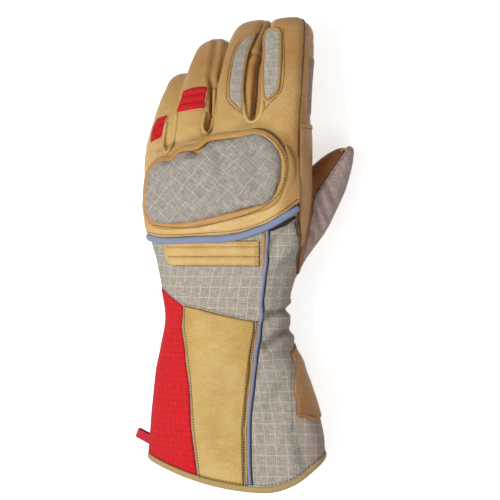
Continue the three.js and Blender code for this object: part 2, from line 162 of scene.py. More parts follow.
def cloudy(tree, place, scale, detail, distortion=0.0):
    sockets = [("Vector", place), ("Scale", scale), ("Detail", detail), ("Distortion", distortion)]
    return add_node(tree, "TexNoise", sockets).outputs["Fac"]


def object_place(tree):
    return add_node(tree, "TexCoord").outputs["Object"]


def set_bump(tree, surface, *layers):
    """Bumps one over the other, each with its height, strength and distance in metres."""
    for height, strength, distance in layers:
        under = surface.inputs["Normal"].links
        sockets = [("Height", height), ("Strength", strength), ("Distance", distance)]
        if under:
            sockets.append(("Normal", under[0].from_socket))
        bump = add_node(tree, "Bump", sockets)
        tree.links.new(bump.outputs["Normal"], surface.inputs["Normal"])


def hue(red, green, blue):
    def linear(part):
        part = part / 255
        return part / 12.92 if part <= 0.04045 else ((part + 0.055) / 1.055) ** 2.4
    return (linear(red), linear(green), linear(blue), 1)


print("a mid grey is", round(hue(128, 128, 128)[0], 3), "in linear light")

# %% [markdown]
# Hide has a fine pebble grain, a few longer creases and soft patches of darker dye. The grain
# is a cell pattern less than a millimetre across, and it only shows in the bump.

# %% Group for the grain of hide
hide_grain, hide_in, hide_out = start_effect(
    "hide grain",
    [("Vector", "Vector", None), ("Cell size", "Float", 0.0011)],
    [("Height", "Float"), ("Patches", "Float"), ("Creases", "Float")])
hide_place = hide_in.outputs["Vector"]
cells_per_metre = sum_up(hide_grain, "DIVIDE", 1.0, hide_in.outputs["Cell size"])
pebbles = add_node(hide_grain, "TexVoronoi", [("Vector", hide_place), ("Scale", cells_per_metre)],
                   feature="F1")
pebble_low = sum_up(hide_grain, "MULTIPLY", pebbles.outputs["Distance"], -0.6)
grain_height = sum_up(hide_grain, "ADD", pebble_low, cloudy(hide_grain, hide_place, 260.0, 4.0))
stretched = add_node(hide_grain, "Mapping", [("Vector", hide_place), ("Scale", (60.0, 150.0, 60.0))])
creases = cloudy(hide_grain, stretched.outputs["Vector"], 1.0, 2.0, 0.6)
hide_grain.links.new(grain_height, hide_out.inputs["Height"])
hide_grain.links.new(cloudy(hide_grain, hide_place, 32.0, 3.0), hide_out.inputs["Patches"])
hide_grain.links.new(creases, hide_out.inputs["Creases"])
print("hide grain nodes", len(hide_grain.nodes))

# %% [markdown]
# The fabric is a plain weave with a heavier thread every few millimetres both ways, which makes
# the check. It reads the piece's own flat pattern, a UV map in metres, so the threads follow the
# cloth round the cuff. The heavy threads are broken by chance, as they rise and sink.

# %% Group for the checked weave
check_weave, weave_in, weave_out = start_effect(
    "check weave",
    [("Vector", "Vector", None), ("Check size", "Float", 0.0078), ("Thread size", "Float", 0.0007),
     ("Line width", "Float", 0.07)],
    [("Height", "Float"), ("Lines", "Float"), ("Heather", "Float")])
weave_place = weave_in.outputs["Vector"]
flat_place = add_node(check_weave, "SeparateXYZ", [("Vector", weave_place)])
thread_waves = []
check_lines = []
slubs = []
for axis in ("X", "Y"):
    along = flat_place.outputs[axis]
    threads = sum_up(check_weave, "DIVIDE", along, weave_in.outputs["Thread size"])
    thread_waves.append(sum_up(check_weave, "SINE", sum_up(check_weave, "MULTIPLY", threads, math.pi)))
    checks = sum_up(check_weave, "DIVIDE", along, weave_in.outputs["Check size"])
    off_line = sum_up(check_weave, "PINGPONG", checks, 0.5)
    line_width = weave_in.outputs["Line width"]
    check_lines.append(spread(check_weave, off_line, line_width, 0.0, kind="SMOOTHSTEP"))
    pull = (1400.0, 160.0, 1.0) if axis == "X" else (160.0, 1400.0, 1.0)
    pulled = add_node(check_weave, "Mapping", [("Vector", weave_place), ("Scale", pull)])
    slubs.append(cloudy(check_weave, pulled.outputs["Vector"], 1.0, 2.0))
over_under = sum_up(check_weave, "MULTIPLY", thread_waves[0], thread_waves[1])
line_mask = sum_up(check_weave, "MAXIMUM", check_lines[0], check_lines[1])
crossings = sum_up(check_weave, "MULTIPLY", check_lines[0], check_lines[1])
shown_share = spread(check_weave, cloudy(check_weave, weave_place, 420.0, 2.0), 0.38, 0.66, 0.42)
line_mask = sum_up(check_weave, "MULTIPLY", line_mask, shown_share)
line_mask = sum_up(check_weave, "ADD", line_mask, sum_up(check_weave, "MULTIPLY", crossings, 0.5))
weave_height = sum_up(check_weave, "ADD", sum_up(check_weave, "MULTIPLY", over_under, 0.5),
                      sum_up(check_weave, "MULTIPLY", line_mask, 0.9))
heather = sum_up(check_weave, "MULTIPLY", slubs[0], slubs[1])
check_weave.links.new(weave_height, weave_out.inputs["Height"])
check_weave.links.new(line_mask, weave_out.inputs["Lines"])
check_weave.links.new(heather, weave_out.inputs["Heather"])
print("check weave nodes", len(check_weave.nodes))

# %% [markdown]
# Every leather here is the same hide with another dye; the darker copies for the cuff panel, the strip
# and the wedge by the thumb are painted shade, and the near-black one is painted shadow. A vertex
# attribute for seams and shade is high where the hide is drawn into stitching, and those places are
# darker and duller: wear at the seams and painted shade in their hollows.

# %% Leather
# Painted shade: a brown mixed into the hide where it turns from the light.
SHADE_BROWN = hue(140, 80, 36)


def read_layer(tree, name):
    return add_node(tree, "Attribute", attribute_name=name).outputs["Fac"]


def darker(color, share):
    return (*(part * share for part in color[:3]), 1)


def leather(name, light, deep, roughness=0.5):
    material, tree, surface = start_material(name, roughness, 0.35)
    place = object_place(tree)
    grain = add_node(tree, "Group", node_tree=hide_grain)
    tree.links.new(place, grain.inputs["Vector"])
    color = blend_colors(tree, spread(tree, grain.outputs["Patches"], 0.35, 0.7), light, deep)
    # Painted shade: the vertex layer of painted shade mixes in the shade brown.
    color = blend_colors(tree, read_layer(tree, "painted_shade"), color, SHADE_BROWN)
    speckle = spread(tree, cloudy(tree, place, 700.0, 3.0), 0.3, 0.7, 0.88, 1.08)
    speckled = add_node(tree, "VectorMath", [(0, color), (3, speckle)], operation="SCALE")
    # Darker by the seams: wear at the stitching and painted shade in hollows, creases and folds.
    color = blend_colors(tree, read_layer(tree, "seam_and_shade"), speckled.outputs["Vector"], darker(deep, 0.22))
    tree.links.new(color, surface.inputs["Base Color"])
    rough = spread(tree, grain.outputs["Creases"], 0.3, 0.7, roughness - 0.07, roughness + 0.1)
    tree.links.new(rough, surface.inputs["Roughness"])
    set_bump(tree, surface, (grain.outputs["Height"], 0.35, 0.0005), (grain.outputs["Creases"], 0.35, 0.0012))
    return material


tan_hide = leather("tan_hide", hue(201, 167, 105), hue(186, 146, 82))
# Painted shade: a darker copy of the tan hide for the leather panel on the cuff.
cuff_shaded_hide = leather("cuff_shaded_hide", hue(184, 151, 80), hue(169, 131, 60))
brown_hide = leather("brown_hide", hue(170, 122, 72), hue(150, 104, 58), 0.55)
rolled_hide = leather("rolled_hide", hue(180, 138, 76), hue(164, 118, 60))
# Painted shade: a dark brown hide for the wedge beside the strip, which lies in shade.
shade_brown_hide = leather("shade_brown_hide", hue(136, 84, 46), hue(118, 68, 36), 0.55)
# Painted shadow: a near-black hide for the sheet under the lifted flap.
shadow_sheet_hide = leather("shadow_sheet_hide", hue(58, 38, 30), hue(44, 28, 22), 0.7)
# Painted shade: a darker copy of the tan hide for the strip, which turns from the light.
strip_shaded_hide = leather("strip_shaded_hide", hue(178, 134, 82), hue(158, 112, 66))
print("leathers made")

# %% [markdown]
# The fabric is dyed in the yarn: pale grey on the cuff, guard and fingers, pinkish on the thumb
# and red on two panels. One function dyes the weave, so the checks keep their size and the
# colours differ. Towards the palm the grey cuff turns pinkish: painted shade.

# %% Checked fabrics
SHADE_PINK = hue(158, 134, 126)
PATTERN = "pattern"


def flat_pattern(tree):
    return add_node(tree, "UVMap", uv_map=PATTERN).outputs["UV"]


def checked(name, light, deep, line_color, line_share, check_size, line_width=0.055, sheen=0.05,
            palm_shade=0.0):
    material, tree, surface = start_material(name, 0.85, 0.2, sheen)
    weave = add_node(tree, "Group", [("Vector", flat_pattern(tree)), ("Check size", check_size),
                                     ("Line width", line_width)], node_tree=check_weave)
    color = blend_colors(tree, spread(tree, weave.outputs["Heather"], 0.12, 0.4), deep, light)
    # Painted shade: the cuff's low thumb side is mixed towards a pinker grey.
    if palm_shade:
        place = add_node(tree, "SeparateXYZ", [("Vector", object_place(tree))])
        low_side = spread(tree, place.outputs["Z"], 0.05, 0.038, to_high=palm_shade)
        thumb_side = spread(tree, place.outputs["X"], 0.0, 0.03)
        color = blend_colors(tree, sum_up(tree, "MULTIPLY", low_side, thumb_side), color, SHADE_PINK)
    lines = sum_up(tree, "MULTIPLY", weave.outputs["Lines"], line_share)
    color = blend_colors(tree, lines, color, line_color)
    # Darker by the seams: wear at the stitching and painted shade in hollows, creases and folds.
    color = blend_colors(tree, read_layer(tree, "seam_and_shade"), color, darker(deep, 0.35))
    tree.links.new(color, surface.inputs["Base Color"])
    set_bump(tree, surface, (weave.outputs["Height"], 0.5, 0.00035))
    return material


grey_check = checked("grey_check", hue(178, 170, 156), hue(134, 125, 114), hue(228, 224, 208), 0.56, 0.0078,
                     palm_shade=0.8)
red_check = checked("red_check", hue(208, 34, 38), hue(186, 20, 28), hue(126, 12, 20), 0.6, 0.0046, 0.08,
                    0.02)
guard_check = checked("guard_check", hue(172, 164, 154), hue(126, 118, 110), hue(214, 208, 194), 0.52, 0.0092,
                      0.045)
finger_check = checked("finger_check", hue(180, 172, 160), hue(136, 128, 118), hue(214, 208, 194), 0.5,
                       0.0068)
thumb_check = checked("thumb_check", hue(196, 174, 166), hue(152, 128, 122), hue(206, 188, 178), 0.35, 0.0078)
print("checked fabrics made")

# %% [markdown]
# Piping, binding, the loop and the thread are narrow, so a fine rib across them is all that
# they need. The rib runs on the piece's own flat pattern.

# %% Tapes and threads
def ribbed(name, light, deep, rib_size, roughness=0.75, bump_distance=0.0003, across="X"):
    material, tree, surface = start_material(name, roughness, 0.25, 0.1)
    parts = add_node(tree, "SeparateXYZ", [("Vector", flat_pattern(tree))])
    ribs = sum_up(tree, "MULTIPLY", parts.outputs[across], 2 * math.pi / rib_size)
    height = sum_up(tree, "ADD", sum_up(tree, "SINE", ribs), cloudy(tree, object_place(tree), 900.0, 2.0))
    color = blend_colors(tree, spread(tree, height, -0.7, 1.5), deep, light)
    tree.links.new(color, surface.inputs["Base Color"])
    set_bump(tree, surface, (height, 0.6, bump_distance))
    return material


blue_tape = ribbed("blue_tape", hue(150, 160, 184), hue(112, 122, 152), 0.0008)
# The navy line beside the blue piping is thread and painted shadow of its deep seam.
navy_thread_and_shadow = ribbed("navy_thread_and_shadow", hue(58, 60, 96), hue(34, 34, 62), 0.0008)
dark_seam = ribbed("dark_seam", hue(112, 72, 52), hue(78, 48, 38), 0.0008)
tan_tape = ribbed("tan_tape", hue(188, 162, 110), hue(160, 133, 82), 0.0009)
red_tape = ribbed("red_tape", hue(214, 52, 68), hue(164, 24, 44), 0.0009)
pale_edge = ribbed("pale_edge", hue(216, 176, 132), hue(186, 140, 96), 0.0009)
grip_cloth = ribbed("grip_cloth", hue(184, 158, 146), hue(140, 110, 108), 0.0012, 0.8, 0.0004, "Y")
dark_thread = ribbed("dark_thread", hue(70, 48, 34), hue(38, 26, 20), 0.0004)
grey_thread = ribbed("grey_thread", hue(110, 108, 104), hue(70, 68, 66), 0.0004)
knit_lining = ribbed("knit_lining", hue(214, 206, 190), hue(186, 176, 158), 0.0016)
print("tapes made")

# %% [markdown]
# A piece is finished the same way each time: its mesh goes into the frame, gets its smooth
# shading, its material and its body, and hides the solids that it stands for.

# %% Helper that finishes a piece
laid_spots, laid_faces = [], []


def new_mesh(name, bm):
    mesh = bpy.data.meshes.new(name)
    bm.to_mesh(mesh)
    bm.free()
    return mesh


def move_verts(spots):
    """Puts each vertex at its new spot, once all the spots are worked out."""
    for vert, spot in spots.items():
        vert.co = spot


def finish_piece(name, bm, material, nodes=()):
    bm.verts.index_update()
    start = len(laid_spots)
    laid_spots.extend(vert.co.copy() for vert in bm.verts)
    laid_faces.extend([vert.index + start for vert in face.verts] for face in bm.faces)
    bmesh.ops.transform(bm, matrix=TO_FRAME, verts=bm.verts)
    mesh = new_mesh(name, bm)
    mesh.shade_smooth()
    piece = link_object(name, mesh)
    mesh.materials.append(material)
    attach(piece, "root")
    if nodes:
        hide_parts(*nodes)
    print(name, "faces", len(mesh.polygons))
    return piece


def thicken(piece, thickness, inside=None):
    wall = piece.modifiers.new("wall", "SOLIDIFY")
    wall.thickness = thickness / 1000
    wall.offset = -1
    if inside:
        piece.data.materials.append(inside)
        wall.material_offset = 1
        wall.material_offset_rim = 0


print("materials made", len(bpy.data.materials))

# %% [markdown]
# The hand and cuff are one tube whose section changes along the glove. Its rows are those of
# the solids, and a curve through the rows keeps the tube smooth. The hem isn't cut straight
# across: as seen, it is lowest near its middle and rises to both sides.

# %% Rows of the body
BODY_ROWS = [
    # y, x, z, wide, thick, turn, little-finger side, thumb side
    (-12, -1, 32, 148, 67, 0, 2.2, 2.2), (40, -2.5, 31, 142, 66, 0, 2.2, 2.2),
    (68, -4, 31, 133, 65, 0, 2.2, 2.2), (94, -6.5, 33, 119, 60, 0, 2.3, 2.3),
    (116, -8, 35, 105, 55, 0, 2.3, 2.3), (132, -7.5, 38, 99, 51, 0, 2.3, 2.4),
    (152, -6.5, 41, 104, 49, 0, 2.3, 2.5), (176, -4.5, 44, 116, 48, 0, 2.4, 2.6),
    (200, -3, 47, 129, 46, -2, 2.4, 2.8), (226, -2.5, 49, 135, 44, -6, 2.4, 3),
    (248, -2, 50, 137, 42, -10, 2.4, 3), (262, -1.5, 50, 135, 38, -12, 2.4, 3),
    (270, -1, 50, 126, 30, -12, 2.4, 3), (274, -1, 50, 110, 16, -12, 2.4, 3),
]
HEM_LOWEST, HEM_MIDDLE = 4, 25.5
HEM_RISE_LEFT, HEM_RISE_RIGHT = 22, 24
HEM_HALF_LEFT, HEM_HALF_RIGHT = 98, 48
BODY_LOW, BODY_HIGH = BODY_ROWS[0][0], BODY_ROWS[-1][0]


def curved_row(y):
    """The body's section at a distance along the glove, on a curve through the rows."""
    last = len(BODY_ROWS) - 2
    low = max((i for i in range(last + 1) if BODY_ROWS[i][0] <= y), default=0)
    before, start, end, after = (BODY_ROWS[min(max(low + step, 0), last + 1)] for step in (-1, 0, 1, 2))
    span = end[0] - start[0]
    part = (y - start[0]) / span
    values = []
    for k in range(1, 8):
        slope_in = (end[k] - before[k]) / max(end[0] - before[0], 1) * span
        slope_out = (after[k] - start[k]) / max(after[0] - start[0], 1) * span
        values.append((2 * part ** 3 - 3 * part ** 2 + 1) * start[k]
                      + (part ** 3 - 2 * part ** 2 + part) * slope_in
                      + (3 * part ** 2 - 2 * part ** 3) * end[k] + (part ** 3 - part ** 2) * slope_out)
    return values


ROW_STEP = 0.5
FINE_ROWS = [curved_row(BODY_LOW + k * ROW_STEP) for k in range(int((BODY_HIGH - BODY_LOW) / ROW_STEP) + 1)]


def body_row(y):
    """The same section from a fine table, which is quicker."""
    place = (y - BODY_LOW) / ROW_STEP
    low = min(max(int(place), 0), len(FINE_ROWS) - 2)
    part = place - low
    return [start + (end - start) * part for start, end in zip(FINE_ROWS[low], FINE_ROWS[low + 1])]


def section_spot(turn, wide, thick, ulnar, radial):
    """A spot on a rounded box section: its two sides can differ in squareness."""
    power = 2 / (radial + (ulnar - radial) * (1 - math.cos(turn)) / 2)
    across = math.copysign(abs(math.cos(turn)) ** power, math.cos(turn)) * wide / 2
    up = math.copysign(abs(math.sin(turn)) ** power, math.sin(turn)) * thick / 2
    return across, up


def body_spot(turn, y, grow=0.0):
    x, z, wide, thick, tilt, ulnar, radial = body_row(y)
    across, up = section_spot(turn, wide + 2 * grow, thick + 2 * grow, ulnar, radial)
    tilt = math.radians(tilt)
    return Vector((x + across * math.cos(tilt), y - across * math.sin(tilt), z + up))


def hem_line(spot):
    """How far the hem's edge lies along the glove at a spot, by its place across the view."""
    across = (spot.z - VIEW_HEIGHT) * ACROSS_VIEW.z + spot.x * ACROSS_VIEW.x
    if across < HEM_MIDDLE:
        return HEM_LOWEST + HEM_RISE_LEFT * min((HEM_MIDDLE - across) / HEM_HALF_LEFT, 1.2) ** 2
    return HEM_LOWEST + HEM_RISE_RIGHT * min((across - HEM_MIDDLE) / HEM_HALF_RIGHT, 1.2) ** 2


print("hem at the little-finger side", round(hem_line(Vector((-74, 0, 31))), 1))

# %% [markdown]
# Each finger is a bent tube too, given by where it starts, how far it reaches, how it turns and
# dips on the way, and its section. The little finger also has a heel, a rounded start far back
# in the hand, which fills the hand's edge under that finger.

# %% The five fingers
STALLS = {
    "index": dict(x=46, y=250, z=51, reach=113, turn=(-2, 0), dips=(0, 12, 24), wide=36, thick=27,
                  roll=0, square=3, tip=17, blunt=2.4, lean=0),
    "middle": dict(x=6, y=246, z=52, reach=127, turn=(0, 1), dips=(2, 22, 49), wide=35, thick=26,
                   roll=-3, square=2.8, tip=17, blunt=2.4, lean=0),
    "ring": dict(x=-33, y=240, z=47, reach=118, turn=(0, 7), dips=(4, 22, 39), wide=34, thick=25,
                 roll=-10, square=2.6, tip=16, blunt=2.4, lean=0),
    "little": dict(x=-64, y=232, z=40, reach=99, turn=(2, 13), dips=(6, 21, 33), wide=31, thick=24,
                   roll=-24, square=2.5, tip=15, blunt=2.4, lean=0, heel=30),
    "thumb": dict(x=22, y=148, z=30, reach=129, turn=(34, 12), dips=(6, 6, 0), wide=37, thick=31,
                  roll=10, square=2.3, tip=46, blunt=1.35, lean=17),
}
BEND_STEP = 2.5


def stall_frame(stall, distance):
    """The middle of a finger and its directions, at a distance from where it starts."""
    place = Vector((stall["x"], stall["y"], stall["z"]))
    gone = 0.0
    while gone < distance or gone == 0:
        part = gone / stall["reach"]
        root, mid, tip = stall["dips"]
        dip = root + (mid - root) * min(part * 2, 1) + (tip - mid) * min(max(part * 2 - 1, 0), 1)
        turn = stall["turn"][0] + (stall["turn"][1] - stall["turn"][0]) * part
        turned = (Matrix.Rotation(math.radians(-turn), 3, "Z") @ Matrix.Rotation(math.radians(-dip), 3, "X")
                  @ Matrix.Rotation(math.radians(stall["roll"]), 3, "Y"))
        place = place + turned.col[1] * min(BEND_STEP, distance - gone)
        gone += BEND_STEP
    return place, turned.col[0].copy(), turned.col[1].copy(), turned.col[2].copy()


print("fingers", list(STALLS))

# %% [markdown]
# Every swept or wrapped shape starts as one flat grid whose corners are then put in place. The
# edges that meet are merged, and what is still open at an end is filled.

# %% Helper that maps a grid, and the solid form of the glove
def mapped_grid(columns, rows, place_at, close=False, fill=False, pattern_at=None):
    bm = bmesh.new()
    bmesh.ops.create_grid(bm, x_segments=columns, y_segments=rows, size=0.5)
    if pattern_at:
        layer = bm.loops.layers.uv.new(PATTERN)
        flat = {vert: pattern_at(vert.co.x + 0.5, vert.co.y + 0.5) for vert in bm.verts}
        for face in bm.faces:
            for loop in face.loops:
                loop[layer].uv = flat[loop.vert]
    for vert in bm.verts:
        vert.co = place_at(vert.co.x + 0.5, vert.co.y + 0.5)
    if close:
        bmesh.ops.remove_doubles(bm, verts=bm.verts, dist=0.001)
    if fill:
        bmesh.ops.holes_fill(bm, edges=[edge for edge in bm.edges if edge.is_boundary])
        bmesh.ops.recalc_face_normals(bm, faces=bm.faces)
    return bm


def stall_grid(stall, grow):
    """A finger's tube. One with a heel starts rounded, that far back inside the hand."""
    reach, tip, heel = stall["reach"] + grow, stall["tip"] + grow, stall.get("heel", 0)
    frames = {}

    def place_at(around, along):
        at = along * (reach + heel) - heel if along < 1 else reach
        if along not in frames:
            frames[along] = stall_frame(stall, max(at, 0.01))
        place, across, ahead, up = frames[along]
        past = clamped((at - (reach - tip)) / tip)
        size = min(1, 0.8 + at / stall["reach"]) * max(0.02, (1 - past ** stall["blunt"]) ** 0.5)
        if at < 0:
            place = place + ahead * at
            size = 0.8 * math.sqrt(max(0.001, 1 - (at / heel) ** 2))
        middle = place + across * (stall["lean"] * (1 - size) if past > 0 else 0)
        side, rise = section_spot(around * 2 * math.pi, (stall["wide"] + 2 * grow) * size,
                                  (stall["thick"] + 2 * grow) * size, stall["square"], stall["square"])
        return middle + across * side + up * rise
    return mapped_grid(36, 70, place_at, close=True, fill=True)


FORM_GROW = 0.25


def body_grid(grow):
    def place_at(around, along):
        return body_spot(around * 2 * math.pi, BODY_LOW + (BODY_HIGH - BODY_LOW) * along, grow)
    return mapped_grid(64, 80, place_at, close=True, fill=True)


print("grids can be mapped, as on the body:", len(body_grid(FORM_GROW).verts), "vertices")

# %% [markdown]
# The five finger tubes and the body are joined by a voxel remesh, and a few rounds of smoothing
# then round the crotches between the fingers as soft leather does. The result is the form that
# every other piece is laid on.

# %% Join the form
FORM_VOXEL = 1.6


def evaluated_mesh(shape):
    return bpy.data.meshes.new_from_object(shape.evaluated_get(bpy.context.evaluated_depsgraph_get()))


def remeshed(shape, voxel):
    """A closed shape of one even skin: what lies inside is gone."""
    remesh = shape.modifiers.new("even", "REMESH")
    remesh.mode = "VOXEL"
    remesh.voxel_size = voxel
    return evaluated_mesh(shape)


def soften(bm, rounds):
    for _ in range(rounds):
        bmesh.ops.smooth_vert(bm, verts=bm.verts, factor=0.5, use_axis_x=True, use_axis_y=True,
                              use_axis_z=True)


def joined_form(grow):
    whole = bmesh.new()
    for bm in [body_grid(grow)] + [stall_grid(stall, grow) for stall in STALLS.values()]:
        whole.from_mesh(new_mesh("part", bm))
    shape = link_object("parts", new_mesh("parts", whole))
    joined = bmesh.new()
    joined.from_mesh(remeshed(shape, FORM_VOXEL))
    bpy.data.objects.remove(shape)
    soften(joined, 10)
    return joined


THUMB_ROOT = [
    # along the glove, how far across the view the thumb's root may reach, share of the pull
    (150, 45, 0.0), (156, 48, 1.0), (175, 59.4, 1.0), (196, 74, 1.0), (211, 81, 1.0), (230, 87, 0.0),
]
ROOT_SOFT = 6


def drawn_in(spot):
    """Draws the thumb's root in softly, as the photograph shows it."""
    across = (spot - SEEN_MIDDLE).dot(ACROSS_VIEW)
    for (low, low_reach, low_share), (high, high_reach, high_share) in zip(THUMB_ROOT, THUMB_ROOT[1:]):
        if low <= spot.y <= high:
            part = (spot.y - low) / (high - low)
            soft_start = low_reach + (high_reach - low_reach) * part - ROOT_SOFT
            past = across - soft_start
            if past > 0:
                pull = past - ROOT_SOFT * (1 - math.exp(-past / ROOT_SOFT))
                return spot - ACROSS_VIEW * pull * (low_share + (high_share - low_share) * part)
    return spot


form = joined_form(FORM_GROW)
for vert in form.verts:
    vert.co = drawn_in(vert.co)
form.normal_update()
form_tree = BVHTree.FromBMesh(form)
print("form faces", len(form.faces))

# %% [markdown]
# Panels, piping and thread are drawn as the viewer sees them, across and along the glove, and
# laid on the form by a ray. Round the sides, where the viewer's rays miss, a spot is given by
# its turn round the body instead, and the ray comes from outside towards the body's middle.

# %% Lay a spot on the form
RAY_START = 130
EDGE_TURN = math.radians(58)


def looking_from(angle, tree=form_tree):
    """A way to lay spots on the form as seen at an angle from straight above, towards the thumb
    side. A spot past the outline is drawn in towards the middle."""
    toward = Vector((math.sin(angle), 0, math.cos(angle)))
    aside = Vector((math.cos(angle), 0, -math.sin(angle)))

    def lay(across, along):
        for pull in range(120):
            place = across - math.copysign(min(pull * 0.25, abs(across)), across)
            spot = aside * place + Vector((0, along, VIEW_HEIGHT))
            hit = tree.ray_cast(spot + toward * RAY_START, -toward)
            if hit[0] is not None:
                return hit[0]
        raise ValueError(f"no form at {across}, {along}")

    def read(spot):
        return (spot - SEEN_MIDDLE).dot(aside), spot.y
    return lay, read


lay_seen, read_seen = looking_from(VIEW_TURN)
lay_edge, read_edge = looking_from(EDGE_TURN)


def lay_round(turn, along):
    """The form's surface at a turn round the body, in degrees, and a distance along it."""
    angle = math.radians(turn)
    surface = body_spot(angle, along)
    outside = body_spot(angle, along, 40)
    outside.y = surface.y
    hit = form_tree.ray_cast(outside, (surface - outside).normalized())
    return hit[0] if hit[0] is not None else surface


def seen_turn(across, along):
    """The turn round the body of a spot that the viewer sees, in degrees."""
    low, high = -24.0, 156.0
    for _ in range(24):
        turn = (low + high) / 2
        spot = body_spot(math.radians(turn), along)
        if read_seen(spot)[0] > across:
            low = turn
        else:
            high = turn
    return (low + high) / 2


def body_place(across, along):
    """The turn and the row of the body at a spot that the viewer sees."""
    row = along
    for _ in range(4):
        turn = seen_turn(across, row)
        row += along - body_spot(math.radians(turn), row).y
    return turn, row


print("piping starts at turn", round(seen_turn(27.8, 170), 1))

# %% [markdown]
# Most lines are given by a few corners read from the photograph. A smooth curve through them is
# then walked in even steps, so that rolls and rows of stitches have even spots.

# %% Smooth lines
def smooth_line(corners, step, closed=False):
    """Points at even steps on a curve through the corners, seen ones or spots."""
    corners = [Vector(corner).to_3d() for corner in corners]
    count = len(corners)
    fine = []
    for i in range(count if closed else count - 1):
        a, b, c, d = (corners[(i + k) % count if closed else min(max(i + k, 0), count - 1)]
                      for k in (-1, 0, 1, 2))
        for s in range(16):
            t = s / 16
            fine.append(0.5 * (2 * b + (c - a) * t + (2 * a - 5 * b + 4 * c - d) * t ** 2
                               + (3 * b - a - 3 * c + d) * t ** 3))
    fine.append(corners[0] if closed else corners[-1])
    length = sum((b - a).length for a, b in zip(fine, fine[1:]))
    steps = max(2, round(length / step))
    points = []
    gone, want = 0.0, 0.0
    for a, b in zip(fine, fine[1:]):
        part = (b - a).length
        while part > 0 and want <= gone + part + 1e-6 and len(points) <= steps:
            points.append(a.lerp(b, (want - gone) / part))
            want += length / steps
        gone += part
    if closed:
        return points[:steps]
    if len(points) <= steps:
        points.append(fine[-1])
    return points


print("steps on a line of 30 mm", len(smooth_line([(0, 0), (30, 0)], 1.5)))

# %% [markdown]
# A panel is one outline that is sliced into small squares, laid on the form, and raised by a
# height that falls off towards its edge, where the seam holds it down. A wall under it closes
# its sides. The height may also carry ribs or folds of its own.

# %% Helper for panels
def flat_corners(line):
    return [Vector((*corner, 0)) for corner in line]


def line_distance(spot, corners):
    """How far a flat spot lies from the nearest point of a line."""
    best = 1e9
    for a, b in zip(corners, corners[1:]):
        near, share = geometry.intersect_point_line(spot, a, b)
        near = a if share < 0 else b if share > 1 else near
        best = min(best, (spot - near).length)
    return best


def cut(bm, place, normal, clear=False):
    bmesh.ops.bisect_plane(bm, geom=bm.verts[:] + bm.edges[:] + bm.faces[:], plane_co=place, plane_no=normal,
                           clear_inner=clear)


def sliced_outline(outline, step):
    bm = bmesh.new()
    bm.faces.new([bm.verts.new((a, b, 0)) for a, b in outline])
    for axis in range(2):
        values = [corner[axis] for corner in outline]
        count = math.ceil((max(values) - min(values)) / step)
        normal = Vector((1, 0, 0)) if axis == 0 else Vector((0, 1, 0))
        for k in range(1, count):
            cut(bm, normal * (min(values) + (max(values) - min(values)) * k / count), normal)
    return bm


def turned_pattern(across, along, turn=0.0):
    """A seen place on the flat pattern, in metres, with the threads turned."""
    return ((across * math.cos(turn) - along * math.sin(turn)) / 1000,
            (across * math.sin(turn) + along * math.cos(turn)) / 1000)


def panel(name, outline, lay, step, height_at, material, nodes=(), wall=1.6, grain=0.0,
          seam_width=1.0, seam_depth=0.7, dark_at=None):
    bm = sliced_outline(outline, step)
    layer = bm.loops.layers.uv.new(PATTERN)
    seam_and_shade = bm.verts.layers.float.new("seam_and_shade")
    corners = flat_corners([*outline, outline[0]])
    away = {vert: line_distance(vert.co, corners) for vert in bm.verts}
    flat = {vert: vert.co.xy for vert in bm.verts}
    for face in bm.faces:
        for loop in face.loops:
            loop[layer].uv = turned_pattern(*flat[loop.vert], grain)
    for vert in bm.verts:
        vert.co = lay(*flat[vert])
    face_out(bm)
    move_verts({vert: vert.co + vert.normal * height_at(*flat[vert], away[vert]) for vert in bm.verts})
    for vert in bm.verts:
        # The edge by the seam is darker: wear and painted shade in the seam's hollow.
        vert[seam_and_shade] = seam_depth * max(0.0, 1 - away[vert] / seam_width) ** 2
        if dark_at:
            vert[seam_and_shade] = max(vert[seam_and_shade], dark_at(*flat[vert]))
    piece = finish_piece(name, bm, material, nodes)
    thicken(piece, wall)
    return piece


def surface_out(spot):
    return form_tree.find_nearest(spot)[1]


def face_out(bm):
    """Turns a sheet's faces outwards, as the form under it faces."""
    bm.normal_update()
    if sum(vert.normal.dot(surface_out(vert.co)) for vert in bm.verts) < 0:
        bmesh.ops.reverse_faces(bm, faces=bm.faces)
        bm.normal_update()


def round_over(away, height, reach):
    """A height that starts at nothing on an edge and is full at a distance from it."""
    part = min(away / reach, 1)
    return height * math.sqrt(max(0.0, 1 - (1 - part) ** 2))


print("1 mm in from its edge a panel of 1.2 mm stands", round(round_over(1.0, 1.2, 2.2), 2), "mm high")

# %% [markdown]
# Piping, rolled edges and raised seams are cords along a line on the form, more or less sunk
# into it. Their section is an ellipse, and their ends taper into the surface.

# %% Helper for rolls
def beside_in(row, closed):
    """Each item of a row with the one before it and the one after it."""
    if closed:
        return zip(row[-1:] + row[:-1], row, row[1:] + row[:1])
    return zip(row[:1] + row[:-1], row, row[1:] + row[-1:])


def smooth_out(spots, closed=False):
    outs = [surface_out(spot) for spot in spots]
    for _ in range(4):
        outs = [(before + out * 2 + after).normalized() for before, out, after in beside_in(outs, closed)]
    return outs


def lengths_along(spots):
    gone = [0.0]
    for a, b in zip(spots, spots[1:]):
        gone.append(gone[-1] + (b - a).length)
    return gone


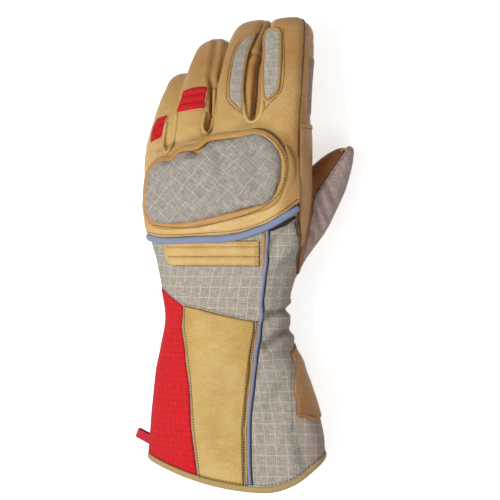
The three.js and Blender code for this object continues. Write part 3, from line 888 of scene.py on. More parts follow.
def roll(name, spots, wide, high, lift, material, nodes=(), slot=None, closed=False, sides=10,
         taper=0.0, outs=None, shade_at=None):
    """A roll through spots: wide across, high over the surface, lifted off it by lift."""
    outs = outs or smooth_out(spots, closed)
    count = len(spots)
    aheads = [(after - before).normalized() for before, _, after in beside_in(spots, closed)]
    gone = lengths_along(spots + spots[:1])

    def place_at(along, around):
        i = round(along * (count if closed else count - 1))
        ends = 1.0
        if taper and not closed:
            ends = min(1.0, min(gone[i], gone[count - 1] - gone[i]) / taper)
            ends = max(0.04, math.sqrt(max(0.0, 1 - (1 - ends) ** 2)))
        i = i % count
        side = aheads[i].cross(outs[i]).normalized()
        turn = around * 2 * math.pi
        return (spots[i] + outs[i] * lift + side * math.cos(turn) * wide / 2 * ends
                + outs[i] * math.sin(turn) * high * ends)

    def pattern_at(along, around):
        i = round(along * (count if closed else count - 1))
        return gone[i] / 1000, around * wide * 1.6 / 1000

    bm = mapped_grid(count if closed else count - 1, sides, place_at, close=True, fill=not closed,
                     pattern_at=pattern_at)
    bmesh.ops.recalc_face_normals(bm, faces=bm.faces)
    bm.verts.layers.float.new("seam_and_shade")
    if shade_at:
        painted_shade_layer = bm.verts.layers.float.new("painted_shade")
        for vert in bm.verts:
            vert[painted_shade_layer] = shade_at(vert.co)
    return finish_piece(name, bm, material, nodes)


def seen_spots(line, step=1.5, closed=False):
    return [lay_seen(*spot.xy) for spot in smooth_line(line, step, closed)]


print("spots on a line over the knuckles", len(seen_spots([(-60, 226), (10, 268), (42, 244)])))

# %% [markdown]
# The thread lies in short stitches with small gaps. One stitch is a ball of few faces that is
# drawn out long, and each seam is a single piece.

# %% Helper for stitching
STITCH_SIDES, STITCH_RINGS = 6, 4
STITCH_FACES = STITCH_SIDES * STITCH_RINGS


def stitches(name, lines, lift, material, pitch, length, thick):
    """lines are lists of spots on the surface, each with its own way out of the surface."""
    bm = bmesh.new()
    for spots, outs in lines:
        gone, want = 0.0, pitch / 2
        for i in range(len(spots) - 1):
            part = (spots[i + 1] - spots[i]).length
            while part > 0 and want <= gone + part:
                place = spots[i].lerp(spots[i + 1], (want - gone) / part)
                ahead = (spots[i + 1] - spots[i]).normalized()
                side = ahead.cross(outs[i]).normalized()
                out = side.cross(ahead)
                turned = Matrix((ahead, side, out)).transposed().to_4x4()
                size = Matrix.Diagonal((length / 2, thick / 2, thick / 2, 1))
                bmesh.ops.create_uvsphere(bm, u_segments=STITCH_SIDES, v_segments=STITCH_RINGS, radius=1,
                                          matrix=Matrix.Translation(place + out * lift) @ turned @ size)
                want += pitch
            gone += part
    bm.loops.layers.uv.new(PATTERN)
    print("stitches", len(bm.faces) // STITCH_FACES)
    return finish_piece(name, bm, material)


# %% [markdown]
# The skin of the hand is the form above the wrist, open at its end and given a wall. Leather
# isn't smooth: it has shallow hollows and puckers that run out from the seams, which a soft
# noise gives. The sides of the fingers and the thumb's inner side are browner: painted shade.

# %% Hand, fingers and thumb
HAND_LOW_Y, HAND_HIGH_Y = 185, 214
HAND_LOW_Z, HAND_HIGH_Z = 8, 70
HAND_SLOPE = (HAND_HIGH_Y - HAND_LOW_Y) / (HAND_HIGH_Z - HAND_LOW_Z)


def soft_hollows(spot, size, depth):
    return depth * noise.noise(spot / size)


skin = form.copy()
cut(skin, (0, HAND_LOW_Y, HAND_LOW_Z), Vector((0, 1, -HAND_SLOPE)).normalized(), clear=True)
skin.normal_update()
SEAM_LINES = {
    "index_seam": [(57.8, 360), (57.4, 342), (56, 314), (54, 290), (52.8, 275), (52.2, 250), (52.4, 214),
                   (51, 180)],
    "middle_seam": [(27, 360), (23.4, 351), (17.4, 337.5), (13.4, 320), (12.4, 300), (13, 288)],
    "middle_edge": [(32, 355.6), (28.2, 344.3), (26.8, 333), (23, 323), (22, 308), (20, 284)],
}
RING_GAP = [(-9.6, 347), (-12, 330), (-14, 318.6), (-11.4, 306), (-10.8, 290)]
GROOVES = [
    # seen line, half width, depth
    (SEAM_LINES["index_seam"], 2.4, 0.6), (SEAM_LINES["middle_seam"], 2.0, 0.9),
    (SEAM_LINES["middle_edge"], 2.2, 1.2), (RING_GAP, 2.2, 2.2),
    ([(14, 331), (19, 334), (24, 333)], 1.6, 1.0), ([(-64, 262), (-58, 263.5), (-54, 263)], 2.4, 0.8),
    ([(30, 276), (40, 271), (50, 272)], 4, 0.5), ([(-30, 274), (-22, 268), (-16, 268)], 3, 0.4),
    ([(48, 262), (44, 268), (36, 274)], 3, 0.5), ([(-40, 318), (-30, 322), (-20, 322)], 4, 0.4),
    ([(-66, 244), (-64, 256), (-60, 262)], 3, 0.7), ([(46, 226), (49, 240), (48, 256)], 3.5, 0.5),
]


def groove_depth(seen):
    """How deep the hide is drawn in near the grooves, with a low swell beside each."""
    depth = 0.0
    here = Vector((*seen, 0))
    for line, half_width, deep in GROOVES:
        away = line_distance(here, flat_corners(line))
        if away < 4 * half_width:
            depth += deep * math.exp(-(away / half_width) ** 2)
            depth -= 0.35 * deep * math.exp(-((away - 1.9 * half_width) / half_width) ** 2)
    return depth


def puckered(vert):
    lift = soft_hollows(vert.co, 26, 0.55) + soft_hollows(vert.co, 9, 0.26)
    if vert.normal.dot(TO_VIEWER) > 0:
        lift -= groove_depth(read_seen(vert.co))
    return vert.co + vert.normal * lift


move_verts({vert: puckered(vert) for vert in skin.verts})
print("hand before its wall", len(skin.verts))

# %% [markdown]
# Painted shade is put on the vertices as a browner colour: the walls between the fingers, the
# fingertips, the hide between the guard and the strip, and the thumb's inner side, which also
# gets darker painted shade beside its seam. The leather's material reads both layers.

# %% Painted shade between the fingers and on the thumb
STALL_PLACES = [(name, stall["reach"] * step / 12, stall_frame(stall, stall["reach"] * step / 12))
                for name, stall in STALLS.items() for step in range(2, 12)]


def nearest_stall(spot):
    """The finger that a spot belongs to, how far out along it, and that place's frame."""
    return min(STALL_PLACES, key=lambda found: (spot - found[2][0]).length)


def shaded_side(spot):
    """Painted shade: the hide is browner between the knuckle guard and the strip on the thumb side, where it
    turns from the light.
    """
    across, along = read_seen(spot)
    return 0.52 * clamped((across - 35) / 9) * clamped((285 - along) / 20)


THUMB_SEAM = ((65.4, 224.6), (90, 261))


def thumb_shade(spot):
    """Painted shade on the thumb's hide at a spot: how brown it is, and how much darker beside its seam."""
    here = Vector((*read_seen(spot), 0))
    beside_seam = geometry.intersect_point_line(here, *flat_corners(THUMB_SEAM))[0]
    return clamped((here.x - 56) / 3), 0.42 * math.exp(-((beside_seam - here).length / 4.5) ** 2)


def wall_shade(vert, name, at, across):
    """Painted shade on a finger's hide: browner on its walls to the next finger, and towards its tip."""
    side = vert.normal.dot(across)
    outer_wall = (name == "index" and side > 0) or (name == "little" and side < 0)
    walls = 0.0 if outer_wall else 0.7 * clamped((abs(side) - 0.72) / 0.2)
    return max(walls, min(0.5, max(0.0, (vert.co.y - 272) / 110))) if at > 24 else 0.0


skin.normal_update()
seam_shade_layer = skin.verts.layers.float.new("seam_and_shade")
painted_shade_layer = skin.verts.layers.float.new("painted_shade")
for vert in skin.verts:
    if vert.co.y >= 200:
        name, at, stall_at = nearest_stall(vert.co)
        if name == "thumb":
            vert[painted_shade_layer], vert[seam_shade_layer] = thumb_shade(vert.co)
        else:
            vert[painted_shade_layer] = max(wall_shade(vert, name, at, stall_at[1]), shaded_side(vert.co))
hand = finish_piece("hand_skin", skin, tan_hide,
                    ("hand_shell", "knuckle_shell", "finger_index", "finger_middle", "finger_ring",
                     "finger_little", "thumb"))
thicken(hand, WALL, knit_lining)

# %% [markdown]
# A fabric cuff creases deep at the thumb side of the wrist, where it buckles, and has long soft
# folds below. Each crease is a seen line with a width and a depth, pressed in with a swell on
# both sides. A sculpted copy would look as real, but these few lines are easy to change.

# %% Creases of the cuff
CUFF_CREASES = [
    # across and along at each end, half width, depth
    ((31, 136), (44, 139), 2.8, 3.4), ((30, 113), (43, 122), 3.2, 3.2), ((22, 128), (33, 131), 5.0, 1.2),
    ((24, 92), (46, 106), 5.5, 1.8), ((-60, 150), (-42, 140), 6.0, 0.8),
    ((26, 24), (40, 80), 7.0, 1.0), ((-10, 150), (14, 158), 6.0, 0.6), ((62, 20), (52, 48), 6.0, 1.8),
    ((36, 166), (47, 176), 5.0, 1.6), ((34, 186), (52, 204), 5.0, 2.6), ((36, 150), (44, 168), 4.0, 0.9),
    ((36, 20), (44, 44), 5.0, 0.8), ((32, 70), (46, 78), 5.0, 0.9),
]


def away_from(seen, start, end, past_share=1.0):
    """How far a seen place lies from a fold; what is past its ends counts by a share."""
    here = Vector((*seen, 0))
    near, share = geometry.intersect_point_line(here, *flat_corners((start, end)))
    past = max(0.0, -share, share - 1) * (Vector(end) - Vector(start)).length
    return math.hypot((here - near).length, past * past_share)


def crease_shade(spot):
    """Painted shade down in the two deep creases of the cloth."""
    seen = read_seen(spot)
    if seen[0] < 20 or spot.z < 20:
        return 0.0
    return max(0.55 * math.exp(-(away_from(seen, start, end, 0.8) / half_width * 1.7) ** 2)
               for start, end, half_width, depth in CUFF_CREASES[:2])


def cuff_fold(spot):
    """How far the cuff stands out at a spot, in millimetres."""
    lift = soft_hollows(spot, 34, 0.9) + soft_hollows(spot, 13, 0.3)
    x, z = body_row(min(spot.y, 240))[:2]
    if (spot - Vector((x, spot.y, z))).dot(TO_VIEWER) < -4:
        return lift
    for start, end, half_width, depth in CUFF_CREASES:
        away = away_from(read_seen(spot), start, end, 0.8)
        lift -= depth * math.exp(-(away / half_width) ** 2)
        lift += 0.45 * depth * math.exp(-((away - 1.9 * half_width) / half_width) ** 2)
    if lift > 0:
        lift *= min(1, max(0.15, (206 - spot.y) / 18))
    return lift * clamped((spot.y - hem_line(spot) + 6) / 20)


print("beside the wrist the cuff stands out", round(cuff_fold(body_spot(math.radians(-8), 137)), 1), "mm")

# %% [markdown]
# The cuff is one sleeve of checked fabric that goes up under the hand, and its lower edge
# follows the hem's curve. Its flat pattern is measured round each row, so the checks keep their
# size where the cuff flares.

# %% Cuff sleeve
CUFF_LOWEST = 0.35


def cuff_spot(turn, above_hem, grow=0.0):
    """A spot on the cuff, by its turn in degrees and its height above the hem's curve."""
    angle = math.radians(turn)
    along = above_hem + HEM_LOWEST
    for _ in range(2):
        along = above_hem + hem_line(body_spot(angle, along))
    spot = body_spot(angle, along)
    x, z = body_row(along)[:2]
    out = Vector((spot.x - x, 0, (spot.z - z) * 1.6)).normalized()
    spot = spot + out * (cuff_fold(spot) + grow)
    spot.z = max(spot.z, CUFF_LOWEST)
    return spot


UNDER_HAND = 7
CUFF_TUCK = 2.0
GIRTH_ROW, GIRTH_LOW, GIRTH_TURN = 8, -8, 6
GIRTH_ROWS, GIRTH_TURNS = 36, 122
GIRTHS = [lengths_along([body_spot(math.radians(step * GIRTH_TURN - 180), k * GIRTH_ROW + GIRTH_LOW)
                         for step in range(GIRTH_TURNS)]) for k in range(GIRTH_ROWS)]


def row_girth(turn, along, start):
    """The distance round the body from one turn to another, in millimetres."""
    row = (along - GIRTH_LOW) / GIRTH_ROW
    low = min(max(int(row), 0), len(GIRTHS) - 2)

    def from_table(angle):
        step = (angle + 180) / GIRTH_TURN
        left = min(max(int(step), 0), len(GIRTHS[0]) - 2)
        values = [line[left] + (line[left + 1] - line[left]) * (step - left) for line in GIRTHS[low:low + 2]]
        return values[0] + (values[1] - values[0]) * (row - low)
    return from_table(turn) - from_table(start)


def cuff_pattern(turn, above_hem):
    along = min(above_hem + hem_line(body_spot(math.radians(turn), above_hem + 10)), 250)
    return row_girth(turn, along, 60) / 1000, along / 1000


def sleeve_top(turn):
    """The height above the hem where the sleeve ends, a little way up under the hand."""
    under_hand = body_spot(math.radians(turn), 200)
    return HAND_LOW_Y + HAND_SLOPE * (under_hand.z - HAND_LOW_Z) + UNDER_HAND - hem_line(under_hand)


def sleeve_place(around, along):
    top = sleeve_top(around * 360)
    tucked = max(0.0, 1 - (top - along * top) / 26)
    return cuff_spot(around * 360, along * top, -CUFF_TUCK * tucked)


def sleeve_pattern(around, along):
    return cuff_pattern(around * 360, along * sleeve_top(around * 360))


sleeve = mapped_grid(200, 120, sleeve_place, close=True, pattern_at=sleeve_pattern)
bmesh.ops.recalc_face_normals(sleeve, faces=sleeve.faces)
shade_layer = sleeve.verts.layers.float.new("seam_and_shade")
# Painted shade in the cuff's deep creases.
for vert in sleeve.verts:
    vert[shade_layer] = crease_shade(vert.co)
sleeve_tree = BVHTree.FromBMesh(sleeve)
cuff = finish_piece("cuff_sleeve", sleeve, grey_check, ("gauntlet",))
thicken(cuff, WALL, knit_lining)

# %% [markdown]
# The trims of the cuff lie on the sleeve and follow its folds. Each lies between two lines that
# run up the cuff, and is raised over the fabric with rounded edges.

# %% Helper for the trims of the cuff
TRIM_WALL = 1.2


def cuff_place(across, along):
    """The turn and the height above the hem of a spot that the viewer sees on the cuff."""
    turn, row = body_place(across, along)
    return turn, row - hem_line(body_spot(math.radians(turn), row))


def interpolate(table, value, ease=0.0):
    """The second value of a table at a first one, on lines that are straight or a little eased."""
    if value <= table[0][0]:
        return table[0][1]
    for start, end in zip(table, table[1:]):
        if value <= end[0]:
            part = (value - start[0]) / (end[0] - start[0])
            part = part * part * (3 - 2 * part) * ease + part * (1 - ease)
            return start[1] + (end[1] - start[1]) * part
    return table[-1][1]


def height_table(line):
    """A line up the cuff as seen becomes a function: the turn at a height above the hem."""
    rows = sorted((above, turn) for turn, above in (cuff_place(a, b) for a, b in line))
    return lambda above: interpolate(rows, above)


def top_table(line):
    """A seen line across the cuff becomes a function: the height above the hem at a turn."""
    spots = sorted(cuff_place(a, b) for a, b in line)
    return lambda turn: interpolate(spots, turn)


def cuff_panel(name, right, left, low, high, raise_by, material, nodes=(), columns=40,
               rows=90, reach=2.2):
    """A trim between two turns; low and high give heights above the hem at a turn."""
    def cuff_at(around, along):
        turn = right(40) + (left(40) - right(40)) * around
        for _ in range(3):
            above = low(turn) + (high(turn) - low(turn)) * along
            turn = right(above) + (left(above) - right(above)) * around
        return turn, low(turn) + (high(turn) - low(turn)) * along

    def place_at(around, along):
        turn, above = cuff_at(around, along)
        wide = abs(row_girth(left(above), 80, right(above)))
        tall = high(turn) - low(turn)
        edge_gaps.append(min(around * wide, (1 - around) * wide, along * tall, (1 - along) * tall))
        return cuff_spot(turn, above)

    edge_gaps = []
    bm = mapped_grid(columns, rows, place_at, pattern_at=lambda a, b: cuff_pattern(*cuff_at(a, b)))
    seam_and_shade = bm.verts.layers.float.new("seam_and_shade")
    face_out(bm)
    move_verts({vert: vert.co + vert.normal * round_over(away, raise_by, reach)
                for vert, away in zip(bm.verts, edge_gaps)})
    for vert, away in zip(bm.verts, edge_gaps):
        vert.co.z = max(vert.co.z, 0.1)
        # The edge by the seam is darker: wear and painted shade in the seam's hollow.
        vert[seam_and_shade] = 0.6 * max(0.0, 1 - away / 1.2) ** 2
    thicken(finish_piece(name, bm, material, nodes), TRIM_WALL)


def cuff_out(turn, above):
    """The way out of the cuff at a place, from the steps to its neighbours."""
    around = cuff_spot(turn - 1.5, above) - cuff_spot(turn + 1.5, above)
    along = cuff_spot(turn, above + 1.5) - cuff_spot(turn, above - 1.5)
    return around.cross(along).normalized()


def cuff_line(line):
    """Spots on the cuff along a seen line, each with its way out."""
    places = smooth_line([cuff_place(a, b) for a, b in line], 1.0)
    spots = [cuff_spot(*place.xy) for place in places]
    line_spots = smooth_line(spots, 1.5)
    outs = []
    for spot in line_spots:
        nearest = min(range(len(spots)), key=lambda i: (spots[i] - spot).length)
        outs.append(cuff_out(*places[nearest].xy))
    return line_spots, outs


def beside(line, across, along):
    return [(a + across, b + along) for a, b in line]


def cuff_roll(name, line, wide, high, lift, material, *settings, **more):
    spots, outs = cuff_line(line)
    return roll(name, spots, wide, high, lift, material, *settings, outs=outs, **more)


print("the wrist's crease starts at turn", round(cuff_place(31, 136)[0], 1))

# %% [markdown]
# On the real cuff a red panel and a tan leather one are sewn over the fabric. Each could be cut
# as a flat sheet and shrunk on, but a grid between two lines of the cuff keeps its edges even.
# The red one goes on round the little-finger side, and a narrow strip lies along the piping.

# %% Red fabric and tan leather on the cuff
RED_EDGE = [(-33.8, 142), (-34.6, 125.4), (-32.3, 107.9), (-29.3, 80.6), (-27, 48.6), (-22.4, 11.4)]
LEATHER_EDGE = [(20.5, 131), (20.5, 125), (16.6, 101.8), (14.2, 77.5), (11.6, 48.6), (12.4, 8)]
PIPING_EDGE = beside(LEATHER_EDGE, 3.0, 0)
RED_TOP = [(-33.8, 141.5), (-42.6, 147), (-51.7, 154.3)]
PANEL_LOW = 3.6
LEATHER_TOP = [(-33.4, 142), (-21.3, 139.8), (0, 134.5), (16, 131.5), (24, 130.7)]
UNDER_TURN = 214
red_turn = height_table(RED_EDGE)
leather_turn = height_table(LEATHER_EDGE)
leather_top = top_table(LEATHER_TOP)


def panel_low(turn):
    return PANEL_LOW


cuff_panel("red_cloth", lambda above: red_turn(above) + 0.4, lambda above: UNDER_TURN, panel_low,
           top_table(RED_TOP), 0.7, red_check, ("red_panel",), columns=56)
# The cuff's leather panel takes the darker copy of the tan hide, which is painted shade.
cuff_panel("cuff_leather", leather_turn, lambda above: red_turn(above) - 0.2, panel_low, leather_top, 1.2,
           cuff_shaded_hide, ("leather_panel",), columns=34)
cuff_panel("leather_strip", height_table(PIPING_EDGE), lambda above: leather_turn(above) - 0.5, panel_low,
           leather_top, 0.9, rolled_hide, columns=8, reach=1.2)

# %% [markdown]
# A browner leather patch guards the cuff's thumb side, where it rubs. It goes on under the cuff,
# so only its edge towards the viewer is read from the photograph, with a tape along its foot.

# %% Palm-side patch of the cuff
PATCH_EDGE = [(48.6, 106), (49.6, 80), (50.2, 57.8)]
PATCH_LOW = [(50.2, 61.6), (58, 59.6), (67, 55.6)]
PATCH_HIGH = [(48.6, 106.5), (50, 109), (51.6, 114)]
PATCH_UNDER = -66
cuff_panel("palm_leather", lambda above: PATCH_UNDER, height_table(PATCH_EDGE), top_table(PATCH_LOW),
           top_table(PATCH_HIGH), 1.5, brown_hide, ("palm_patch",), rows=60, reach=2.4)
cuff_roll("palm_leather_edge", [(50.2, 61.6), (56, 60.2), (62, 58), (66.4, 56)], 3.0, 2.2, 0.6, brown_hide,
          taper=2)

# %% [markdown]
# Piping is a thin cord in a folded tape, sewn into the seam so that its round edge stands out.
# A bevelled curve would do too, but a roll on the cuff follows its folds and keeps flat sides.

# %% Blue piping down the cuff
SIDE_PIPING = [(29.2, 199), (29, 188), (27.2, 169.5), (24.6, 142.9), (24.4, 126.9), (20.8, 105.6),
               (18.2, 79), (16, 55), (16, 27.4), (17, 9)]
cuff_roll("cuff_piping", SIDE_PIPING, 2.5, 1.6, 0.4, blue_tape, ("side_piping",), "blue_piping")
# Beside the piping, a navy roll: thread, with painted shadow of the deep seam.
cuff_roll("piping_seam", beside(SIDE_PIPING, 1.6, 0), 1.1, 0.6, 0.0, navy_thread_and_shadow)

# %% [markdown]
# The hem is bound by a tape folded over the cuff's edge. Its section, a narrow U, is carried
# round the hem's curve, and a thin wall makes it a tape. Where the cuff lies on the floor the
# tape is kept above it.

# %% Hem binding
BINDING_HIGH, BINDING_THICK = 3.8, 1.1
BINDING_PROFILE = [
    # out of the cuff's surface, above the hem
    (0.1, BINDING_HIGH), (0.9, BINDING_HIGH - 0.3), (BINDING_THICK, 2.2), (BINDING_THICK, 0.6),
    (0.5, -0.8), (-WALL / 2, -1.2), (-WALL - 0.5, -0.8), (-WALL - BINDING_THICK, 0.6),
    (-WALL - BINDING_THICK, 2.2), (-WALL - 0.9, BINDING_HIGH - 0.3), (-WALL - 0.1, BINDING_HIGH),
]
binding_outs = {}


def binding_place(around, across):
    turn = around * 360
    if turn not in binding_outs:
        binding_outs[turn] = cuff_out(turn, 3)
    index = min(int(across * (len(BINDING_PROFILE) - 1) + 0.001), len(BINDING_PROFILE) - 2)
    part = across * (len(BINDING_PROFILE) - 1) - index
    (out_a, up_a), (out_b, up_b) = BINDING_PROFILE[index:index + 2]
    out = out_a + (out_b - out_a) * part
    above = up_a + (up_b - up_a) * part
    spot = cuff_spot(turn, max(above, 0.01)) + binding_outs[turn] * out
    spot.y += min(above, 0)
    spot.z = max(spot.z, 0.05 + max(0.0, -out) * 0.9)
    return spot


binding = mapped_grid(260, 20, binding_place, close=True,
                      pattern_at=lambda a, b: (row_girth(a * 360, 8, 0) / 1000, b * 0.012))
bmesh.ops.recalc_face_normals(binding, faces=binding.faces)
thicken(finish_piece("binding_tape", binding, tan_tape, ("hem_binding",)), 0.8)

# %% [markdown]
# Over the wrist lie two padded ribs, sewn down between them, and above them a flap of leather
# whose folded edge stands off the fabric. A blue piping shows under that edge.

# %% Wrist ribs
lay_cuff, _ = looking_from(VIEW_TURN, sleeve_tree)
RIB_LEFT, RIB_RIGHT = -50, 24
RIB_LINES = (191, 186.2, 178.8, 172.2)


def rib_height(across, along, away):
    low = max((line for line in RIB_LINES[1:] if line <= along), default=RIB_LINES[-1])
    high = RIB_LINES[RIB_LINES.index(low) - 1]
    part = abs(2 * (along - low) / (high - low) - 1)
    ends = min(clamped((across - RIB_LEFT - 1.5) / 4), clamped((RIB_RIGHT - 1 - across) / 2.5))
    ends *= clamped((RIB_LINES[0] - 0.5 - along) / 3)
    pad = 1.6 * math.sqrt(max(0.0, 1 - min(part, 1) ** 2.6)) * ends
    return round_over(away, 0.9, 0.9) + pad + 0.12 * noise.noise(Vector((across, along, 0)) / 4)


rib_outline = [(RIB_LEFT, 191), (RIB_RIGHT, 191), (RIB_RIGHT, 171.6), (RIB_LEFT + 10, 171.6),
               (RIB_LEFT + 6, 172.6), (RIB_LEFT + 3, 177), (RIB_LEFT + 1, 182)]
ribs = panel("wrist_padding", rib_outline, lay_cuff, 0.8, rib_height, tan_hide, ("wrist_ribs",))
cuff_roll("wrist_strip", [(26.4, 196), (25.8, 171.8)], 3.0, 0.9, 0.2, rolled_hide)

# %% [markdown]
# The flap is a second layer of hide over the back of the hand. Its folded edge stands off the
# wrist, most of all towards the thumb, and its upper part sinks into the hand under the guard.
# It is wrapped by turn and row, because it goes on round the little-finger side.

# %% Flap over the back of the hand
FLAP_EDGE = [(-78, 197.5), (-64.6, 196.3), (-47, 193.6), (-19, 194.6), (8.4, 196.8), (26.6, 202.9),
             (40.7, 210.9), (51.2, 219.2)]
FLAP_HIGH = 2.4
FLAP_TOP = 250
FLAP_LEFT = 196
flap_rows = sorted(body_place(a, b) for a, b in FLAP_EDGE)
flap_right = seen_turn(53.2, 232)
FLAP_OPEN = [(-20, 0.0), (22, 0.4), (38, 1.6), (52, 2.4)]


def flap_row(turn):
    return interpolate(flap_rows, turn, ease=0.3)


def flap_height(turn, row):
    above = row - flap_row(turn)
    fade = clamped((FLAP_TOP - row) / 26) * clamped((turn - flap_right) / 1.5)
    edge = 0.5 + 0.5 * math.sqrt(min(1, above / 1.2))
    seam_and_shade = 0.7 * math.exp(-((above - 1.9) / 0.8) ** 2)
    across = read_seen(body_spot(math.radians(turn), row))[0]
    opened = interpolate(FLAP_OPEN, across) * math.exp(-above / 9)
    return FLAP_HIGH * fade * edge - seam_and_shade * fade + opened * fade + 0.15 - 0.9 * (1 - fade)


def flap_place(around, along):
    turn = flap_right + (FLAP_LEFT - flap_right) * around
    start = flap_row(turn)
    row = start + (FLAP_TOP - start) * along ** 1.3
    spot = lay_round(turn, row)
    lift = soft_hollows(spot, 26, 0.55) + soft_hollows(spot, 9, 0.22)
    return spot + surface_out(spot) * (flap_height(turn, row) + lift)


flap = mapped_grid(150, 60, flap_place)
flap.verts.layers.float.new("seam_and_shade")
# Painted shade on the flap towards the thumb side, as on the hand.
painted_shade_layer = flap.verts.layers.float.new("painted_shade")
for vert in flap.verts:
    vert[painted_shade_layer] = shaded_side(vert.co)
face_out(flap)
thicken(finish_piece("flap_leather", flap, tan_hide, ("back_panel",)), 1.5)

# %% [markdown]
# The flap's edge is lined by a second, wider blue piping. It is laid on the cuff rather than on
# the flap, lifts off with the flap towards the thumb, and goes on round the little-finger side.
# In the gap that opens towards the thumb lies a dark sheet: painted shadow under the flap.

# %% Blue piping under the flap
BACK_PIPING = [(-60, 193.4), *beside(FLAP_EDGE[2:-1], 0.6, -2.7), (49.6, 213.6), (51.6, 215.6)]
PIPING_STEPS = 24
spots, outs = cuff_line(BACK_PIPING)
side_turn, side_above = cuff_place(*BACK_PIPING[0])
side_rise = cuff_place(-60, 196)[1] - side_above
under = [(FLAP_LEFT + (side_turn - FLAP_LEFT) * step / PIPING_STEPS,
          side_above + side_rise * (1 - step / PIPING_STEPS)) for step in range(PIPING_STEPS)]
spots = [cuff_spot(*place) for place in under] + spots
outs = [cuff_out(*place) for place in under] + outs
PIPING_OPEN = [(-20, 0.0), (22, 0.4), (38, 1.4), (46, 1.6), (52, 0.2)]
spots = [spot + out * interpolate(PIPING_OPEN, read_seen(spot)[0]) for spot, out in zip(spots, outs)]
roll("flap_piping", spots, 5.4, 1.9, 1.1, blue_tape, ("back_piping",), "blue_piping", outs=outs)

# Painted shadow: a dark sheet on the cuff where the flap stands off it.
FLAP_SHADE = [(18, 199), (30, 203), (44, 211), (51, 215), (51, 208), (44, 202.6), (34, 198), (24, 196.4)]
panel("flap_shadow_sheet", FLAP_SHADE, lay_cuff, 1.0, lambda across, along, away: 0.35, shadow_sheet_hide, wall=0.5)

# %% [markdown]
# The knuckle guard is a pad of checked fabric that swells over all four knuckles, held down by
# a leather roll round its scalloped edge. The pad is filled by a short cloth simulation with
# pressure inside it, whose result is kept as the mesh.

# %% Knuckle guard
RIM = [
    (-61.5, 226), (-59, 243), (-51, 251.5), (-42, 252.5), (-34, 259), (-22, 260.5), (-13, 266), (-2, 267.5),
    (10, 268.5), (23, 270), (33.5, 265), (40.5, 254.5), (42, 244), (40, 232), (33, 218.5), (14, 212),
    (-7, 207), (-30, 203), (-51, 203), (-59.5, 210),
]
GUARD_SWELL = 4.5
GUARD_UNDER, GUARD_OVER = 1.6, 2.4


def rounded(outline):
    return [tuple(spot.xy) for spot in smooth_line(outline, 2.0, True)]


guard_line = rounded(RIM)
guard_corners = flat_corners([*guard_line, guard_line[0]])
guard_top = sliced_outline(guard_line, 2.4)
bottom = {}
for vert in guard_top.verts:
    swell = round_over(line_distance(vert.co, guard_corners), GUARD_SWELL, 12)
    spot = lay_seen(*vert.co.xy)
    out = surface_out(spot)
    bottom[vert] = spot - out * GUARD_UNDER
    vert.co = spot + out * (GUARD_OVER + swell)
face_out(guard_top)
closed = bmesh.ops.duplicate(guard_top, geom=guard_top.faces[:])
for vert, copied in closed["vert_map"].items():
    if vert in bottom:
        copied.co = bottom[vert]
bottom_faces = [part for part in closed["geom"] if isinstance(part, bmesh.types.BMFace)]
bmesh.ops.reverse_faces(guard_top, faces=bottom_faces)
bmesh.ops.bridge_loops(guard_top, edges=[edge for edge in guard_top.edges if edge.is_boundary])
bmesh.ops.recalc_face_normals(guard_top, faces=guard_top.faces)
bmesh.ops.transform(guard_top, matrix=TO_FRAME, verts=guard_top.verts)
print("guard before it is filled", len(guard_top.faces))
guard_mesh = new_mesh("guard_start", guard_top)

# %% [markdown]
# The real pad is a soft foam under fabric. A cloth simulation with pressure inside gives it an
# even swell; the mesh is first made of even squares, which cloth needs, and no spot may move
# further than a cap.

# %% Fill the guard
GUARD_CAP = 5.0
GUARD_VOXEL, GUARD_PRESSURE = 0.0032, 4.0
FILL_FRAMES = 20


def filled_pad(mesh, voxel, pressure, cap):
    """A closed mesh is remeshed evenly and swollen as cloth round a gas, and its result is kept."""
    pad = link_object("pad_start", mesh)
    even = remeshed(pad, voxel)
    pad.modifiers.clear()
    pad.data = even
    before = [vert.co.copy() for vert in even.vertices]
    cloth = pad.modifiers.new("air", "CLOTH")
    cloth.settings.use_pressure = True
    cloth.settings.uniform_pressure_force = pressure
    cloth.settings.effector_weights.gravity = 0
    cloth.point_cache.frame_end = FILL_FRAMES
    for step in range(1, FILL_FRAMES + 1):
        bpy.context.scene.frame_set(step)
    swollen = evaluated_mesh(pad)
    bpy.context.scene.frame_set(1)
    for vert, start in zip(swollen.vertices, before):
        move = vert.co - start
        vert.co = start + move * min(1, cap / 1000 / max(move.length, 1e-6))
    bpy.data.objects.remove(pad)
    return swollen


guard_mesh = filled_pad(guard_mesh, GUARD_VOXEL, GUARD_PRESSURE, GUARD_CAP)
print("guard mesh kept", len(guard_mesh.polygons))

# %% [markdown]
# The kept mesh is made finer and smoother, dented where the photograph shows the guard sunk
# between the knuckles, and given a flat pattern turned half across, as its checks run slanting.

# %% Dents and checks of the guard
pad = bmesh.new()
pad.from_mesh(guard_mesh)
bmesh.ops.transform(pad, matrix=TO_FRAME.inverted(), verts=pad.verts)
bmesh.ops.subdivide_edges(pad, edges=pad.edges[:], cuts=1, use_grid_fill=True, smooth=1.0)
soften(pad, 3)
pad.normal_update()
GUARD_DENTS = [
    # seen start and end, half width, depth
    ((-6, 256), (-4, 238), 4.0, 2.6), ((20, 258), (22, 232), 6.0, 2.0), ((-34, 248), (-32, 238), 4.0, 1.6),
]
GUARD_GRAIN = math.radians(-50)


def dent_depth(seen):
    return sum(deep * math.exp(-(away_from(seen, start, end) / half_width) ** 2)
               for start, end, half_width, deep in GUARD_DENTS)


